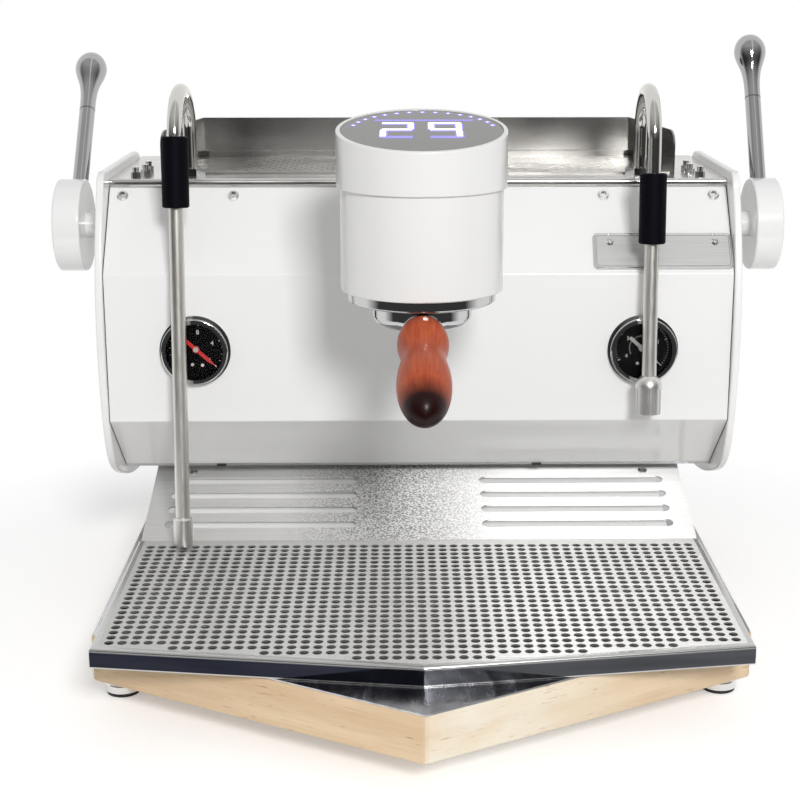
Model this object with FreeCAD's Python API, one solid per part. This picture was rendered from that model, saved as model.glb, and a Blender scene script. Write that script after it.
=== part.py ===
import FreeCAD, Part
import math
import os

# Espresso machine, in millimetres.
# The pieces are drawn about the drip tray: X to the right, Y to the back and Z up,
# with X = 0 on the middle of the machine, Y = 0 at the first full row of tray holes
# and Z = 0 on the tray's top face. The finished pieces are then moved together, so
# that the origin lies on the counter under the middle of the machine.

# Clearances
seat_gap = 0.3          # between a moving piece and what it lies on or faces
slip = 0.05             # radial, a shaft or tube turning in its hole
easy = 0.1              # radial, a fixed piece pushed into its hole
panel_gap = 0.3         # around a fixed piece that passes through a panel
side_play = 0.5         # between the tray pan and the skirt round it

# Drip tray and its grate
tray_half = 228.0
tray_corner_y = -10.0   # the front corners of the tray
tray_apex_y = -43.0     # the point of its V-shaped front
tray_rear_y = 203.7
tray_height = 14.1
grate_sheet = 1.5
rim_width = 5.0         # the rim's flat border round the perforated plate
rim_bend = 2.0
hole_pitch = 9.0
hole_radius = 3.3
hole_half_columns = 24
hole_rows = 22
hole_edge = 9.0         # least distance from a hole's centre to the front edge
pan_wall = 1.2
pan_rear_inset = 2.0

# Base
sheet_thickness = 1.2
sheet_inset = 1.0
board_half = 238.0
board_corner_y = 46.0
board_apex_y = -85.0
board_thickness = 33.4
board_round = 8.0
board_edge = 1.0
foot_height = 24.5
foot_radius = 13.5
foot_disc_height = 7.0
foot_pad_height = 3.0
foot_pad_radius = 12.3
foot_neck_radius = 8.0
foot_stem_radius = 5.0
foot_stem_length = 20.0
foot_x = 222.5
foot_front_y = 81.0
foot_rear_y = 405.0

# Splash panel and the plinth behind it
splash_half = 226.0
splash_sheet = 1.5
splash_front_y = 204.0
splash_rear_y = 309.0
splash_rise = 32.0
splash_standoff = 3.0
slot_count = 4
slot_start_x = 52.0
slot_end_x = 210.0
slot_width = 9.8
slot_first_y = 225.0
slot_step_y = 20.0
splash_screw_x = 194.5
splash_screw_y = 298.0
splash_screw_radius = 3.9
splash_screw_head = 1.8
splash_screw_cross = 4.6
boss_radius = 6.0
plinth_half = 205.0
plinth_front_y = 208.0
plinth_rear_y = 428.0
plinth_wall = 2.0

# Body
body_half = 250.0       # to the inner faces of the side panels
side_thickness = 6.0
body_rear_y = 440.0
panel_sheet = 1.5
panel_seam = 0.6        # open seam at each end of the front panel
floor_z = 41.0
floor_sheet = 2.0
front_top = (268.0, 279.0)
front_fold_y = 220.0
front_fold_high = 216.0
front_fold_low = 96.0
front_foot = (284.0, 41.0)
front_fold_round = 2.0
front_top_return = 8.0
front_foot_return = 14.0
deck_z = 286.0
deck_sheet = 1.5
deck_front_y = 266.0
deck_return = 10.0
deck_round = 3.0
side_front = [(243.0, 282.0), (219.0, 218.0), (213.0, 163.0), (219.0, 105.0), (237.0, 58.0),
              (281.0, 33.5)]
side_belly = [(308.0, 25.0), (360.0, 15.5), (400.0, 12.0)]
side_top_z = 293.0
side_top_front_y = 260.0
side_rear_round = 30.0
side_nose = (247.0, 289.5)
side_edge = 1.5
vent_count = 9
vent_half_length = 40.0
vent_width = 5.0
vent_pitch = 12.0
vent_first_z = 150.0
vent_centre_x = 90.0
panel_screw_radius = 4.6
panel_screw_height = 3.2
panel_socket_radius = 2.6   # to the hexagon's corners
panel_socket_depth = 1.8
panel_screw_x = (149.4, 238.5)
panel_screw_up = 71.0
plate_start_x = 138.6
plate_end_x = 249.5
plate_low = 3.7
plate_high = 35.5
plate_thickness = 2.0
plate_round = 4.0
plate_screw_inset_x = 13.5
plate_screw_drop = 8.0
plate_screw_radius = 3.0
plate_screw_height = 1.5
plate_screw_cross = 3.2
cross_width = 0.9
cross_depth = 0.9

# Cup rail and cup floor on the deck
rail_front_half = 211.0
rail_rear_half = 192.0
rail_front_y = 290.0
rail_rear_y = 424.0
rail_height = 36.0
rail_sheet = 1.5
rail_round = 12.0
ledge_depth = 5.0
ledge_height = 5.0
cup_floor_sheet = 1.5
cup_floor_front_y = 298.0
cup_hole_radius = 1.7
cup_hole_pitch = 9.0
cup_hole_half_columns = 18
cup_hole_rows = 11
cup_hole_first_y = 316.0
deck_nut_places = [(229.0, 273.0), (224.0, 292.0), (225.0, 316.0)]
deck_nut_radius = 4.0
deck_nut_height = 5.0
deck_stud_radius = 2.6
deck_stud_height = 4.0
slit_start_x = 176.0    # a short slit through the deck on each side
slit_end_x = 188.0
slit_y = 311.5
slit_width = 1.5

# Chassis inside the body
beam = 15.0
beam_front_y = 300.0
beam_z = 240.0
beam_height = 30.0
saddle_x = 70.0
saddle_half = 8.0
saddle_half_depth = 36.0
saddle_height = 24.0

# Steam boiler, brew boiler, pump, control box
boiler_radius = 48.0
boiler_half = 120.0
boiler_y = 372.0
boiler_lift = 12.0
boiler_round = 12.0
boiler_wall = 2.0
boiler_flange_radius = 30.0
boiler_flange_length = 12.0
brew_radius = 38.0
brew_y = 366.0
brew_low_z = 192.0
brew_high_z = 276.0
brew_pad_half = 25.0
brew_wall = 3.0
pump_x = -190.0
pump_front_y = 292.0
pump_length = 32.0
pump_radius = 22.0
motor_length = 92.0
motor_radius = 31.0
motor_foot = 8.0
motor_foot_half = 20.0
motor_foot_inset = 15.0
control_x0 = 158.0
control_x1 = 230.0
control_y0 = 318.0
control_y1 = 418.0
control_height = 92.0
control_round = 3.0
pipe_radius = 4.0
pipe_bore = 3.0
pipe_bend = 12.0
wand_pipe_bend = 8.0
wand_pipe_z = 243.0
boiler_feed_x = 96.0
boiler_pipe_z = 185.0
brew_pipe_z = 204.0

# Group
group_y = 75.0
cover_radius = 56.5
cover_wall = 1.5
cover_low_z = 233.0
cover_high_z = 304.0
cover_lip = 1.5
cover_round = 1.0
head_radius = 59.0
head_wall = 3.0
head_floor = 2.0
head_edge = 0.8
head_axis_z = 343.0     # height of the slanted top on the group's axis
head_tilt = 9.2         # degrees, front edge lower
glass_depth = 6.0
glass_recess = 0.6
display_ledge = 4.0
core_high_z = 300.0
core_low_z = 244.0
skirt_outer = 50.0
skirt_inner = 40.5
collar_radius = 51.7
collar_low_z = 225.0
collar_round = 1.5
neck_half = 42.0
neck_low_z = 238.0
neck_high_z = 274.0
neck_round = 8.0
neck_flange_half = 52.0
neck_flange = 6.0
gasket_outer = 35.5
gasket_inner = 29.6
screen_radius = 29.0
screen_thickness = 1.6
screen_hole_radius = 1.2
screen_rings = 4
screen_ring_step = 6.0
screen_ring_holes = 6      # more in each ring outwards

# Portafilter
filter_radius = 35.0
filter_low_z = 207.5
filter_high_z = 235.0
filter_round = 8.0
filter_bore = 31.0
filter_floor = 3.0
lug_radius = 39.2
lug_low_z = 228.8
lug_high_z = 232.5
lug_angle = 40.0
lug_play_angle = 4.0
lock_turn = 50.0        # degrees from locked to the entry notches
basket_radius = 29.4
basket_wall = 1.0
basket_low_z = 213.0
basket_rim = 34.5
basket_rim_thickness = 1.0
basket_hole_radius = 0.6
spout_radius = 9.0
spout_tip_radius = 6.5
spout_bore = 4.0
spout_low_z = 184.0
handle_root = (40.0, 213.5)
handle_slope = 16.0
arm_radius = 7.5
arm_length = 3.0
tang_radius = 5.0
tang_length = 62.0
ferrule_end = 13.0
ferrule_lip = 2.0
ferrule_root_radius = 11.0
ferrule_radius = 14.6
handle_shape = [(13.0, 14.4), (19.0, 16.4), (27.0, 17.4), (36.0, 16.4), (46.0, 14.9),
                (56.0, 15.5), (68.0, 17.2), (80.0, 17.9), (92.0, 17.4), (104.0, 15.2),
              (114.0, 11.2)]
handle_tip = 122.0

# Gauges, on the upright facet of the front panel
gauge_x = 178.8
gauge_z = 154.9
gauge_flange_radius = 28.3
gauge_flange = 1.5
bezel_radius = 26.8
bezel_depth = 8.5
bezel_lip = 1.5
bezel_round = 1.2
bezel_opening = 22.8
gauge_cavity = 24.5
gauge_floor = -5.0      # the cavity's floor, behind the panel's face
gauge_can_radius = 26.0
gauge_can_length = 30.0
glass_sheet = 1.0
dial_thickness = 1.0
needle_width = 2.8
needle_thickness = 0.7
needle_length = 19.8
needle_taper = 13.5      # from the staff to where the point begins
needle_tail = 13.0
needle_hub_radius = 2.7
needle_staff_radius = 0.9
needle_staff_depth = 2.5    # in the cavity's floor
needle_zero = -42.0     # degrees above the right-hand horizontal, seen from the front

# Taps
knob_y = 279.0
knob_z = 247.0
knob_radius = 37.5
knob_inner_x = 271.0
knob_outer_x = 293.0
knob_round = 2.0
knob_cap_x = 297.0
knob_cap_radius = 26.0
hub_radius = 10.5
spindle_radius = 4.0
spindle_end_x = 226.0
valve_radius = 15.0
valve_inner_x = 214.0
valve_neck_radius = 8.0
valve_nut_radius = 11.5
valve_nut_thickness = 1.7
rod_radius = 6.5
rod_root = 24.0
bulb_reach = 155.5
bulb_radius = 13.2
bulb_start = 112.0
bulb_middle = (139.0, 9.1)
bulb_crown = (164.7, 9.5)
steam_lever_x = 280.3    # from the middle of the machine
water_lever_x = 282.0
lean_left = 38.8
lean_right = 28.5

# Wands
steam_wand_x = -186.1
water_wand_x = 181.7
steam_wand_turn = -1.5   # degrees about its rear leg, at rest
water_wand_turn = -0.65
wand_leg_y = 285.0
wand_radius = 5.75
wand_bore = 4.0
wand_bend = 37.0
wand_bend_z = 320.3
wand_slant = 5.0
wand_root_z = 268.0
socket_radius = 8.5
socket_low_z = 258.0
nut_radius = 12.0
nut_height = 7.0
sleeve_radius = 10.5
sleeve_length = 54.5
sleeve_edge = 1.0
steam_sleeve_top = -1.9     # along the front leg, below the bend
water_sleeve_top = 26.7
steam_tube_end = 312.0
tip_radius = 7.85
tip_length = 24.0
tip_cover = 14.0
tip_cavity = 3.0
tip_edge = 1.5
tip_holes = 4
tip_round = 3.0
tip_hole_radius = 0.8
water_tube_end = 195.3
nozzle_radius = 10.4
nozzle_length = 32.0
nozzle_cover = 12.0
nozzle_skirt = 1.2      # the dome's plain edge over the fluted part
nozzle_waist = 9.8      # radius of the fluted part
nozzle_flutes = 11
flute_radius = 1.0
nozzle_bore = 7.6
nozzle_bore_depth = 14.0

# Rear panel fittings
switch_x = -170.0
switch_z = 90.0
switch_half_width = 10.0
switch_half_height = 14.0
switch_frame = 2.5
switch_depth = 20.0
switch_flange = 1.5
rocker_tilt = 10.0       # degrees, at rest
rocker_pin = 2.0
rocker_depth = 5.0       # its pin behind the panel's outer face
rocker_middle = 5.0
rocker_rise = 1.6
rocker_back = 4.0
inlet_x = -110.0
inlet_half_width = 14.0
inlet_half_height = 11.0
inlet_flange = 5.0
inlet_flange_depth = 2.5
inlet_depth = 18.0
inlet_wall = 2.0
inlet_blades = [(-7.0, 2.0), (0.0, -3.0), (7.0, 2.0)]
blade_half_width = 1.0
blade_half_height = 2.0
blade_recess = 4.0
water_in_x = 150.0
water_in_z = 80.0
water_in_radius = 8.33
water_in_neck = 7.5
water_in_clear = 1.0     # from the panel to the full radius
water_in_flange_radius = 13.0
water_in_flange = 4.0
water_in_length = 14.0
water_in_bore = 5.0

# Heights worked out from the stack under the tray
sheet_top = -(tray_height + seat_gap)
board_top = sheet_top - sheet_thickness
board_low = board_top - board_thickness
counter = board_low - foot_height
boiler_z = floor_z + boiler_lift + boiler_radius
pump_z = floor_z + motor_foot + motor_radius
core_radius = cover_radius - cover_wall - seat_gap
knob_middle_x = (knob_inner_x + knob_outer_x) / 2
front_slope = math.atan2(front_top[1] - front_fold_high, front_top[0] - front_fold_y)
splash_slope = math.atan2(splash_rise, splash_rear_y - splash_front_y)

X_AXIS = FreeCAD.Vector(1, 0, 0)
Y_AXIS = FreeCAD.Vector(0, 1, 0)
Z_AXIS = FreeCAD.Vector(0, 0, 1)
ORIGIN = FreeCAD.Vector(0, 0, 0)
FULL_TURN = 360.0
HEX_SIDES = 6


def vec(x, y, z):
    return FreeCAD.Vector(x, y, z)


def box(x0, x1, y0, y1, z0, z1):
    return Part.makeBox(x1 - x0, y1 - y0, z1 - z0, vec(x0, y0, z0))


def rod(radius, start, direction, length):
    return Part.makeCylinder(radius, length, start, direction)


def closed_wire(points):
    return Part.makePolygon(points + [points[0]])


def prism_x(profile, x0, x1):
    """A (y, z) outline drawn out along X."""
    face = Part.Face(closed_wire([vec(x0, y, z) for y, z in profile]))
    return face.extrude(vec(x1 - x0, 0, 0))


def prism_z(outline, z0, z1):
    """An (x, y) outline drawn out along Z."""
    face = Part.Face(closed_wire([vec(x, y, z0) for x, y in outline]))
    return face.extrude(vec(0, 0, z1 - z0))


def turned(profile, centre=ORIGIN, axis=Z_AXIS):
    """A closed (radius, height) outline turned about an axis."""
    face = Part.Face(closed_wire([vec(r, 0, h) for r, h in profile]))
    solid = face.revolve(ORIGIN, Z_AXIS, FULL_TURN)
    return placed(solid, centre, axis)


def placed(shape, centre, axis):
    moved = shape.copy()
    moved.Placement = FreeCAD.Placement(centre, FreeCAD.Rotation(Z_AXIS, axis))
    return moved


def mirrored(shape):
    return shape.mirror(ORIGIN, X_AXIS)


def joined(shapes):
    return shapes[0].fuse(shapes[1:]).removeSplitter()


def both_sides(shape):
    return Part.makeCompound([shape, mirrored(shape)])


def rounded(shape, radius, wanted):
    """Rounds the edges that the test picks."""
    edges = [edge for edge in shape.Edges if wanted(edge)]
    return shape.makeFillet(radius, edges)


def upright(edge):
    room = edge.BoundBox
    return room.ZLength > slip and room.XLength < slip and room.YLength < slip


def along_x(y, z):
    """A test for a straight edge along X through one point."""
    def wanted(edge):
        room = edge.BoundBox
        off = max(abs(room.YMin - y), abs(room.YMax - y), abs(room.ZMin - z), abs(room.ZMax - z))
        return room.XLength > slip and off < slip
    return wanted


def ring_edge(radius, height):
    """A test for a round edge of one radius at one height."""
    def wanted(edge):
        curve = edge.Curve
        if not isinstance(curve, Part.Circle):
            return False
        return abs(curve.Radius - radius) < slip and abs(edge.BoundBox.Center.z - height) < slip
    return wanted


def hexagon(radius):
    turns = [2 * math.pi * side / HEX_SIDES for side in range(HEX_SIDES)]
    return [(radius * math.cos(turn), radius * math.sin(turn)) for turn in turns]


def offset_path(points, distance):
    """An open line moved to the left of its direction, with mitred corners."""
    lines = []
    for (a, b), (c, d) in zip(points, points[1:]):
        length = math.hypot(c - a, d - b)
        u = (c - a) / length
        v = (d - b) / length
        lines.append((a - v * distance, b + u * distance, u, v))
    moved = [lines[0][:2]]
    for (a, b, u, v), (c, d, s, t) in zip(lines, lines[1:]):
        share = ((c - a) * t - (d - b) * s) / (u * t - v * s)
        moved.append((a + u * share, b + v * share))
    _, _, u, v = lines[-1]
    moved.append((points[-1][0] - v * distance, points[-1][1] + u * distance))
    return moved


def folded(points, thickness):
    """The section of a folded sheet: its outer line, then its inner one back again."""
    return points + offset_path(points, thickness)[::-1]


def bent_path(points, bend):
    """Straight runs joined by tangent arcs."""
    edges = []
    start = points[0]
    for before, corner, after in zip(points, points[1:], points[2:]):
        arm_in = (before - corner).normalize()
        arm_out = (after - corner).normalize()
        half = arm_in.getAngle(arm_out) / 2
        reach = bend / math.tan(half)
        enter = corner + arm_in * reach
        leave = corner + arm_out * reach
        middle = (arm_in + arm_out).normalize()
        centre = corner + middle * (bend / math.sin(half))
        top = centre - middle * bend
        edges.append(Part.LineSegment(start, enter).toShape())
        edges.append(Part.Arc(enter, top, leave).toShape())
        start = leave
    edges.append(Part.LineSegment(start, points[-1]).toShape())
    return Part.Wire(edges)


def swept_rod(path, radius):
    first = path.Edges[0]
    circle = Part.Circle(first.valueAt(first.FirstParameter), first.tangentAt(first.FirstParameter), radius)
    return path.makePipeShell([Part.Wire(circle.toShape())], True, False)


def swept_tube(path, radius, bore):
    return swept_rod(path, radius).cut(swept_rod(path, bore))


def ring_holes(ring_count, step, per_ring, radius, low, high):
    """Cutters in rings about the group's axis."""
    cutters = []
    for ring in range(1, ring_count + 1):
        count = per_ring * ring
        for place in range(count):
            turn = 2 * math.pi * place / count
            x = ring * step * math.cos(turn)
            y = group_y + ring * step * math.sin(turn)
            cutters.append(rod(radius, vec(x, y, low), Z_AXIS, high - low))
    return cutters


def perforated(outline, holes, radius, z0, z1):
    """A flat plate with round holes, drawn as one face and then given its thickness."""
    outer = closed_wire([vec(x, y, z0) for x, y in outline])
    wires = [outer]
    for x, y in holes:
        hole = Part.Wire(Part.Circle(vec(x, y, z0), Z_AXIS, radius).toShape())
        hole.reverse()
        wires.append(hole)
    face = Part.Face(wires)
    return face.extrude(vec(0, 0, z1 - z0))


def vee_outline(half, corner_y, apex_y, rear_y):
    return [(-half, corner_y), (0.0, apex_y), (half, corner_y), (half, rear_y), (-half, rear_y)]


# Base board, its sheet and the feet

def foot_places():
    return {"foot_front_left": (-foot_x, foot_front_y), "foot_front_right": (foot_x, foot_front_y),
            "foot_rear_left": (-foot_x, foot_rear_y), "foot_rear_right": (foot_x, foot_rear_y)}


def outer_corner(edge):
    return upright(edge) and abs(edge.BoundBox.XMin) > board_round


def wood_base():
    outline = vee_outline(board_half, board_corner_y, board_apex_y, body_rear_y)
    board = rounded(prism_z(outline, board_low, board_top), board_round, outer_corner)
    board = rounded(board, board_edge, lambda edge: edge.BoundBox.ZLength < slip)
    depth = foot_stem_length + seat_gap
    holes = [rod(foot_stem_radius + slip, vec(x, y, board_low), Z_AXIS, depth)
             for x, y in foot_places().values()]
    return board.cut(holes)


def base_sheet():
    outline = vee_outline(board_half - sheet_inset, board_corner_y + sheet_inset,
                          board_apex_y + sheet_inset, body_rear_y - sheet_inset)
    return rounded(prism_z(outline, board_top, sheet_top), board_round, outer_corner)


def foot(x, y):
    """Rubber pad below, turned metal foot with its threaded stem above."""
    top = foot_height - seat_gap
    shoulder = foot_pad_height + foot_disc_height
    pad = turned([(0, 0), (foot_pad_radius, 0), (foot_pad_radius, foot_pad_height), (0, foot_pad_height)])
    metal = turned([(0, foot_pad_height), (foot_radius, foot_pad_height), (foot_radius, shoulder),
                    (foot_neck_radius, shoulder), (foot_neck_radius, top), (foot_stem_radius, top),
                    (foot_stem_radius, foot_height + foot_stem_length), (0, foot_height + foot_stem_length)])
    metal = rounded(metal, foot_disc_height / 3, ring_edge(foot_radius, shoulder))
    pair = Part.makeCompound([pad, metal])
    pair.translate(vec(x, y, counter))
    return pair


# Drip tray

def front_edge_y(x):
    """Where the tray's V-shaped front lies at one x."""
    return tray_apex_y + (tray_corner_y - tray_apex_y) * abs(x) / tray_half


def grate_holes():
    places = []
    first_row = -int((tray_corner_y - tray_apex_y) / hole_pitch) - 1
    for column in range(-hole_half_columns, hole_half_columns + 1):
        x = column * hole_pitch
        for row in range(first_row, hole_rows):
            y = row * hole_pitch
            if y - front_edge_y(x) >= hole_edge:
                places.append((x, y))
    return places


def tray_outline(inset, rear_y):
    """The tray's outline, drawn in by the same amount at the front and sides."""
    front_angle = math.atan2(tray_corner_y - tray_apex_y, tray_half)
    drop = inset / math.cos(front_angle)
    half = tray_half - inset
    return vee_outline(half, front_edge_y(half) + drop, tray_apex_y + drop, rear_y)


def tray_grate():
    """The flat perforated plate, framed by the rim at the front and sides."""
    return perforated(tray_outline(rim_width, tray_rear_y), grate_holes(), hole_radius, -grate_sheet, 0)


def tray_rim():
    """Folded border: a flat margin, a bend and a skirt at the front and sides."""
    rim = prism_z(tray_outline(0, tray_rear_y), -tray_height, 0)

    def bend(edge):
        room = edge.BoundBox
        return room.ZMin > -slip and room.YMin < tray_rear_y - slip

    rim = rounded(rim, rim_bend, bend)
    past_rear = tray_rear_y + rim_width
    inside = prism_z(tray_outline(grate_sheet, past_rear), -tray_height - rim_width, -grate_sheet)
    opening = prism_z(tray_outline(rim_width, past_rear), -tray_height - rim_width, rim_width)
    return rim.cut([inside, opening])


def drip_tray():
    """Pan of a floor sheet and a wall welded on along each of its edges, mitred at the corners."""
    inset = grate_sheet + side_play
    rear_y = tray_rear_y - pan_rear_inset
    outer = tray_outline(inset, rear_y)
    inner = tray_outline(inset + pan_wall, rear_y - pan_wall)
    floor_top = pan_wall - tray_height
    plates = [prism_z(outer, -tray_height, floor_top)]
    for place, corner in enumerate(outer):
        after = (place + 1) % len(outer)
        wall = [corner, outer[after], inner[after], inner[place]]
        plates.append(prism_z(wall, floor_top, -grate_sheet - seat_gap))
    return Part.makeCompound(plates)


# Splash panel and plinth

def splash_line():
    """The splash panel's outer line, from its rear end down to the base."""
    return [(splash_rear_y, splash_rise), (splash_front_y, 0.0), (splash_front_y, sheet_top)]


def on_splash(x, y):
    """A point of the splash panel's upper face."""
    return vec(x, y, (y - splash_front_y) * math.tan(splash_slope))


def splash_normal():
    return vec(0, -math.sin(splash_slope), math.cos(splash_slope))


def long_slot(x0, x1, width, depth):
    """A slot with round ends, along X, centred on the XY plane."""
    r = width / 2
    bar = box(x0 + r, x1 - r, -r, r, -depth, depth)
    ends = [rod(r, vec(x, 0, -depth), Z_AXIS, 2 * depth) for x in (x0 + r, x1 - r)]
    return joined([bar] + ends)


def splash_panel():
    panel = prism_x(folded(splash_line(), splash_sheet), -splash_half, splash_half)
    cutters = []
    for row in range(slot_count):
        slot = long_slot(slot_start_x, slot_end_x, slot_width, 2 * splash_sheet)
        slot.rotate(ORIGIN, X_AXIS, math.degrees(splash_slope))
        slot.translate(on_splash(0, slot_first_y + row * slot_step_y))
        cutters += [slot, mirrored(slot)]
    return panel.cut(cutters)


def plinth():
    """Hollow foot of the body, its front parallel to the splash panel, with two bosses for it."""
    (rear_y, rear_z), (front_y, front_z) = offset_path(splash_line()[:2], splash_standoff)
    start_z = front_z + (plinth_front_y - front_y) * math.tan(splash_slope)
    roof = floor_z - floor_sheet
    line = [(plinth_rear_y, sheet_top), (plinth_rear_y, roof), (rear_y, roof), (rear_y, rear_z),
            (plinth_front_y, start_z), (plinth_front_y, sheet_top)]
    inner = offset_path(line, plinth_wall)
    low = sheet_top - plinth_wall
    inner = [(inner[0][0], low)] + inner[1:-1] + [(inner[-1][0], low)]
    shell = prism_x(line, -plinth_half, plinth_half)
    shell = shell.cut(prism_x(inner, plinth_wall - plinth_half, plinth_half - plinth_wall))
    bosses = []
    for side in (-1, 1):
        top = on_splash(side * splash_screw_x, splash_screw_y) - splash_normal() * splash_sheet
        length = splash_standoff - splash_sheet + plinth_wall / 2
        bosses.append(rod(boss_radius, top, splash_normal() * -1, length))
    return joined([shell] + bosses)


def cross_recess(length, height):
    """Cutter for a crosshead, down from the top of a screw's head."""
    half = cross_width / 2
    reach = length / 2
    low = height - cross_depth
    return joined([box(-reach, reach, -half, half, low, 2 * height),
                   box(-half, half, -reach, reach, low, 2 * height)])


def splash_screw(side):
    head = turned([(0, 0), (splash_screw_radius, 0), (splash_screw_radius, splash_screw_head / 2),
                   (splash_screw_radius / 2, splash_screw_head), (0, splash_screw_head)])
    head = head.cut(cross_recess(splash_screw_cross, splash_screw_head))
    return placed(head, on_splash(side * splash_screw_x, splash_screw_y), splash_normal())


# Body panels

def facet_point(x, up, out):
    """A point over the front panel's upper facet, measured up from its fold."""
    y = front_fold_y + up * math.cos(front_slope) - out * math.sin(front_slope)
    z = front_fold_high + up * math.sin(front_slope) + out * math.cos(front_slope)
    return vec(x, y, z)


def facet_normal():
    return vec(0, -math.sin(front_slope), math.cos(front_slope))


def front_panel():
    high_fold = (front_fold_y, front_fold_high)
    low_fold = (front_fold_y, front_fold_low)
    line = [(front_top[0] + front_top_return, front_top[1]), front_top, high_fold, low_fold, front_foot,
            (front_foot[0] + front_foot_return, front_foot[1])]
    half = body_half - panel_seam
    panel = prism_x(folded(line, panel_sheet), -half, half)
    inner = offset_path(line, panel_sheet)
    for outside, inside in zip(line[2:4], inner[2:4]):
        panel = rounded(panel, front_fold_round, along_x(*outside))
        panel = rounded(panel, front_fold_round - panel_sheet, along_x(*inside))
    window = box(-neck_half - panel_gap, neck_half + panel_gap, front_fold_y - beam, front_top[0] + beam,
                 neck_low_z - panel_gap, neck_high_z + panel_gap)
    cans = [rod(gauge_can_radius + panel_gap, vec(side * gauge_x, front_fold_y - beam, gauge_z), Y_AXIS,
                2 * beam) for side in (-1, 1)]
    return panel.cut([window] + cans)


def socket_screw(radius, height, socket_radius, socket_depth):
    head = turned([(0, 0), (radius, 0), (radius, height / 2), (radius * 0.75, height), (0, height)])
    return head.cut(prism_z(hexagon(socket_radius), height - socket_depth, 2 * height))


def panel_screws():
    """Four heads on the front panel, two on the name plate and two on the splash panel."""
    screws = []
    for x in panel_screw_x:
        for side in (-1, 1):
            head = socket_screw(panel_screw_radius, panel_screw_height, panel_socket_radius,
                                panel_socket_depth)
            screws.append(placed(head, facet_point(side * x, panel_screw_up, 0), facet_normal()))
    up = plate_high - plate_screw_drop
    for x in (plate_start_x + plate_screw_inset_x, plate_end_x - plate_screw_inset_x):
        head = turned([(0, 0), (plate_screw_radius, 0), (plate_screw_radius / 2, plate_screw_height),
                       (0, plate_screw_height)])
        head = head.cut(cross_recess(plate_screw_cross, plate_screw_height))
        screws.append(placed(head, facet_point(x, up, plate_thickness), facet_normal()))
    screws += [splash_screw(-1), splash_screw(1)]
    return Part.makeCompound(screws)


def name_plate():
    plate = box(plate_start_x, plate_end_x, plate_low, plate_high, 0, plate_thickness)
    plate = rounded(plate, plate_round, upright)
    plate.rotate(ORIGIN, X_AXIS, math.degrees(front_slope))
    plate.translate(facet_point(0, 0, 0))
    return plate


def side_outline():
    """The side panel's edge: a smooth curve down the front and belly, then straight lines."""
    front = Part.BSplineCurve()
    front.interpolate([vec(0, y, z) for y, z in side_front + side_belly])
    start = vec(0, *side_front[0])
    belly_end = vec(0, *side_belly[-1])
    low_z = side_belly[-1][1]
    round_y = body_rear_y - side_rear_round
    round_z = side_top_z - side_rear_round
    reach = side_rear_round * math.sin(math.pi / 4)
    points = [belly_end, vec(0, body_rear_y, low_z), vec(0, body_rear_y, round_z),
              vec(0, round_y + reach, round_z + reach), vec(0, round_y, side_top_z),
              vec(0, side_top_front_y, side_top_z)]
    return Part.Wire([front.toShape(),
                      Part.LineSegment(points[0], points[1]).toShape(),
                      Part.LineSegment(points[1], points[2]).toShape(),
                      Part.Arc(points[2], points[3], points[4]).toShape(),
                      Part.LineSegment(points[4], points[5]).toShape(),
                      Part.Arc(points[5], vec(0, *side_nose), start).toShape()])


def side_panel():
    """The right-hand panel; the left one is its mirror image."""
    panel = Part.Face(side_outline()).extrude(vec(side_thickness, 0, 0))
    panel = rounded(panel, side_edge, lambda edge: edge.BoundBox.XLength < slip)
    panel.translate(vec(body_half, 0, 0))
    return panel.cut(rod(valve_neck_radius + easy, vec(body_half - side_thickness, knob_y, knob_z), X_AXIS,
                         3 * side_thickness))


def deck_slits():
    """Cutters for the short slit on each side, through the deck and the cup floor on it."""
    slit = box(slit_start_x, slit_end_x, slit_y, slit_y + slit_width, deck_z - 2 * deck_sheet,
               deck_z + 2 * cup_floor_sheet)
    return [slit, mirrored(slit)]


def top_deck():
    """Deck sheet with its front folded down and back under, on the front panel's top return."""
    high = (deck_front_y, deck_z)
    low = (deck_front_y, front_top[1])
    line = [(body_rear_y - panel_sheet, deck_z), high, low, (deck_front_y + deck_return, front_top[1])]
    deck = prism_x(folded(line, deck_sheet), -body_half, body_half)
    inner = offset_path(line, deck_sheet)
    for outside, inside in zip(line[1:3], inner[1:3]):
        deck = rounded(deck, deck_round, along_x(*outside))
        deck = rounded(deck, deck_round - deck_sheet, along_x(*inside))
    sockets = [rod(socket_radius + easy, vec(x, wand_leg_y, front_top[1]), Z_AXIS, deck_z)
               for x in (steam_wand_x, water_wand_x)]
    return deck.cut(sockets + deck_slits())


def deck_nuts():
    """Cap nuts with their studs, alike on both sides of the deck."""
    nuts = []
    for x, y in deck_nut_places:
        nut = joined([prism_z(hexagon(deck_nut_radius), 0, deck_nut_height),
                      rod(deck_stud_radius, vec(0, 0, deck_nut_height), Z_AXIS, deck_stud_height)])
        nut.translate(vec(x, y, deck_z))
        nuts += [nut, mirrored(nut)]
    return Part.makeCompound(nuts)


def floor_panel():
    return box(-body_half, body_half, front_foot[0], body_rear_y - panel_sheet, floor_z - floor_sheet,
               floor_z)


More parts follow.
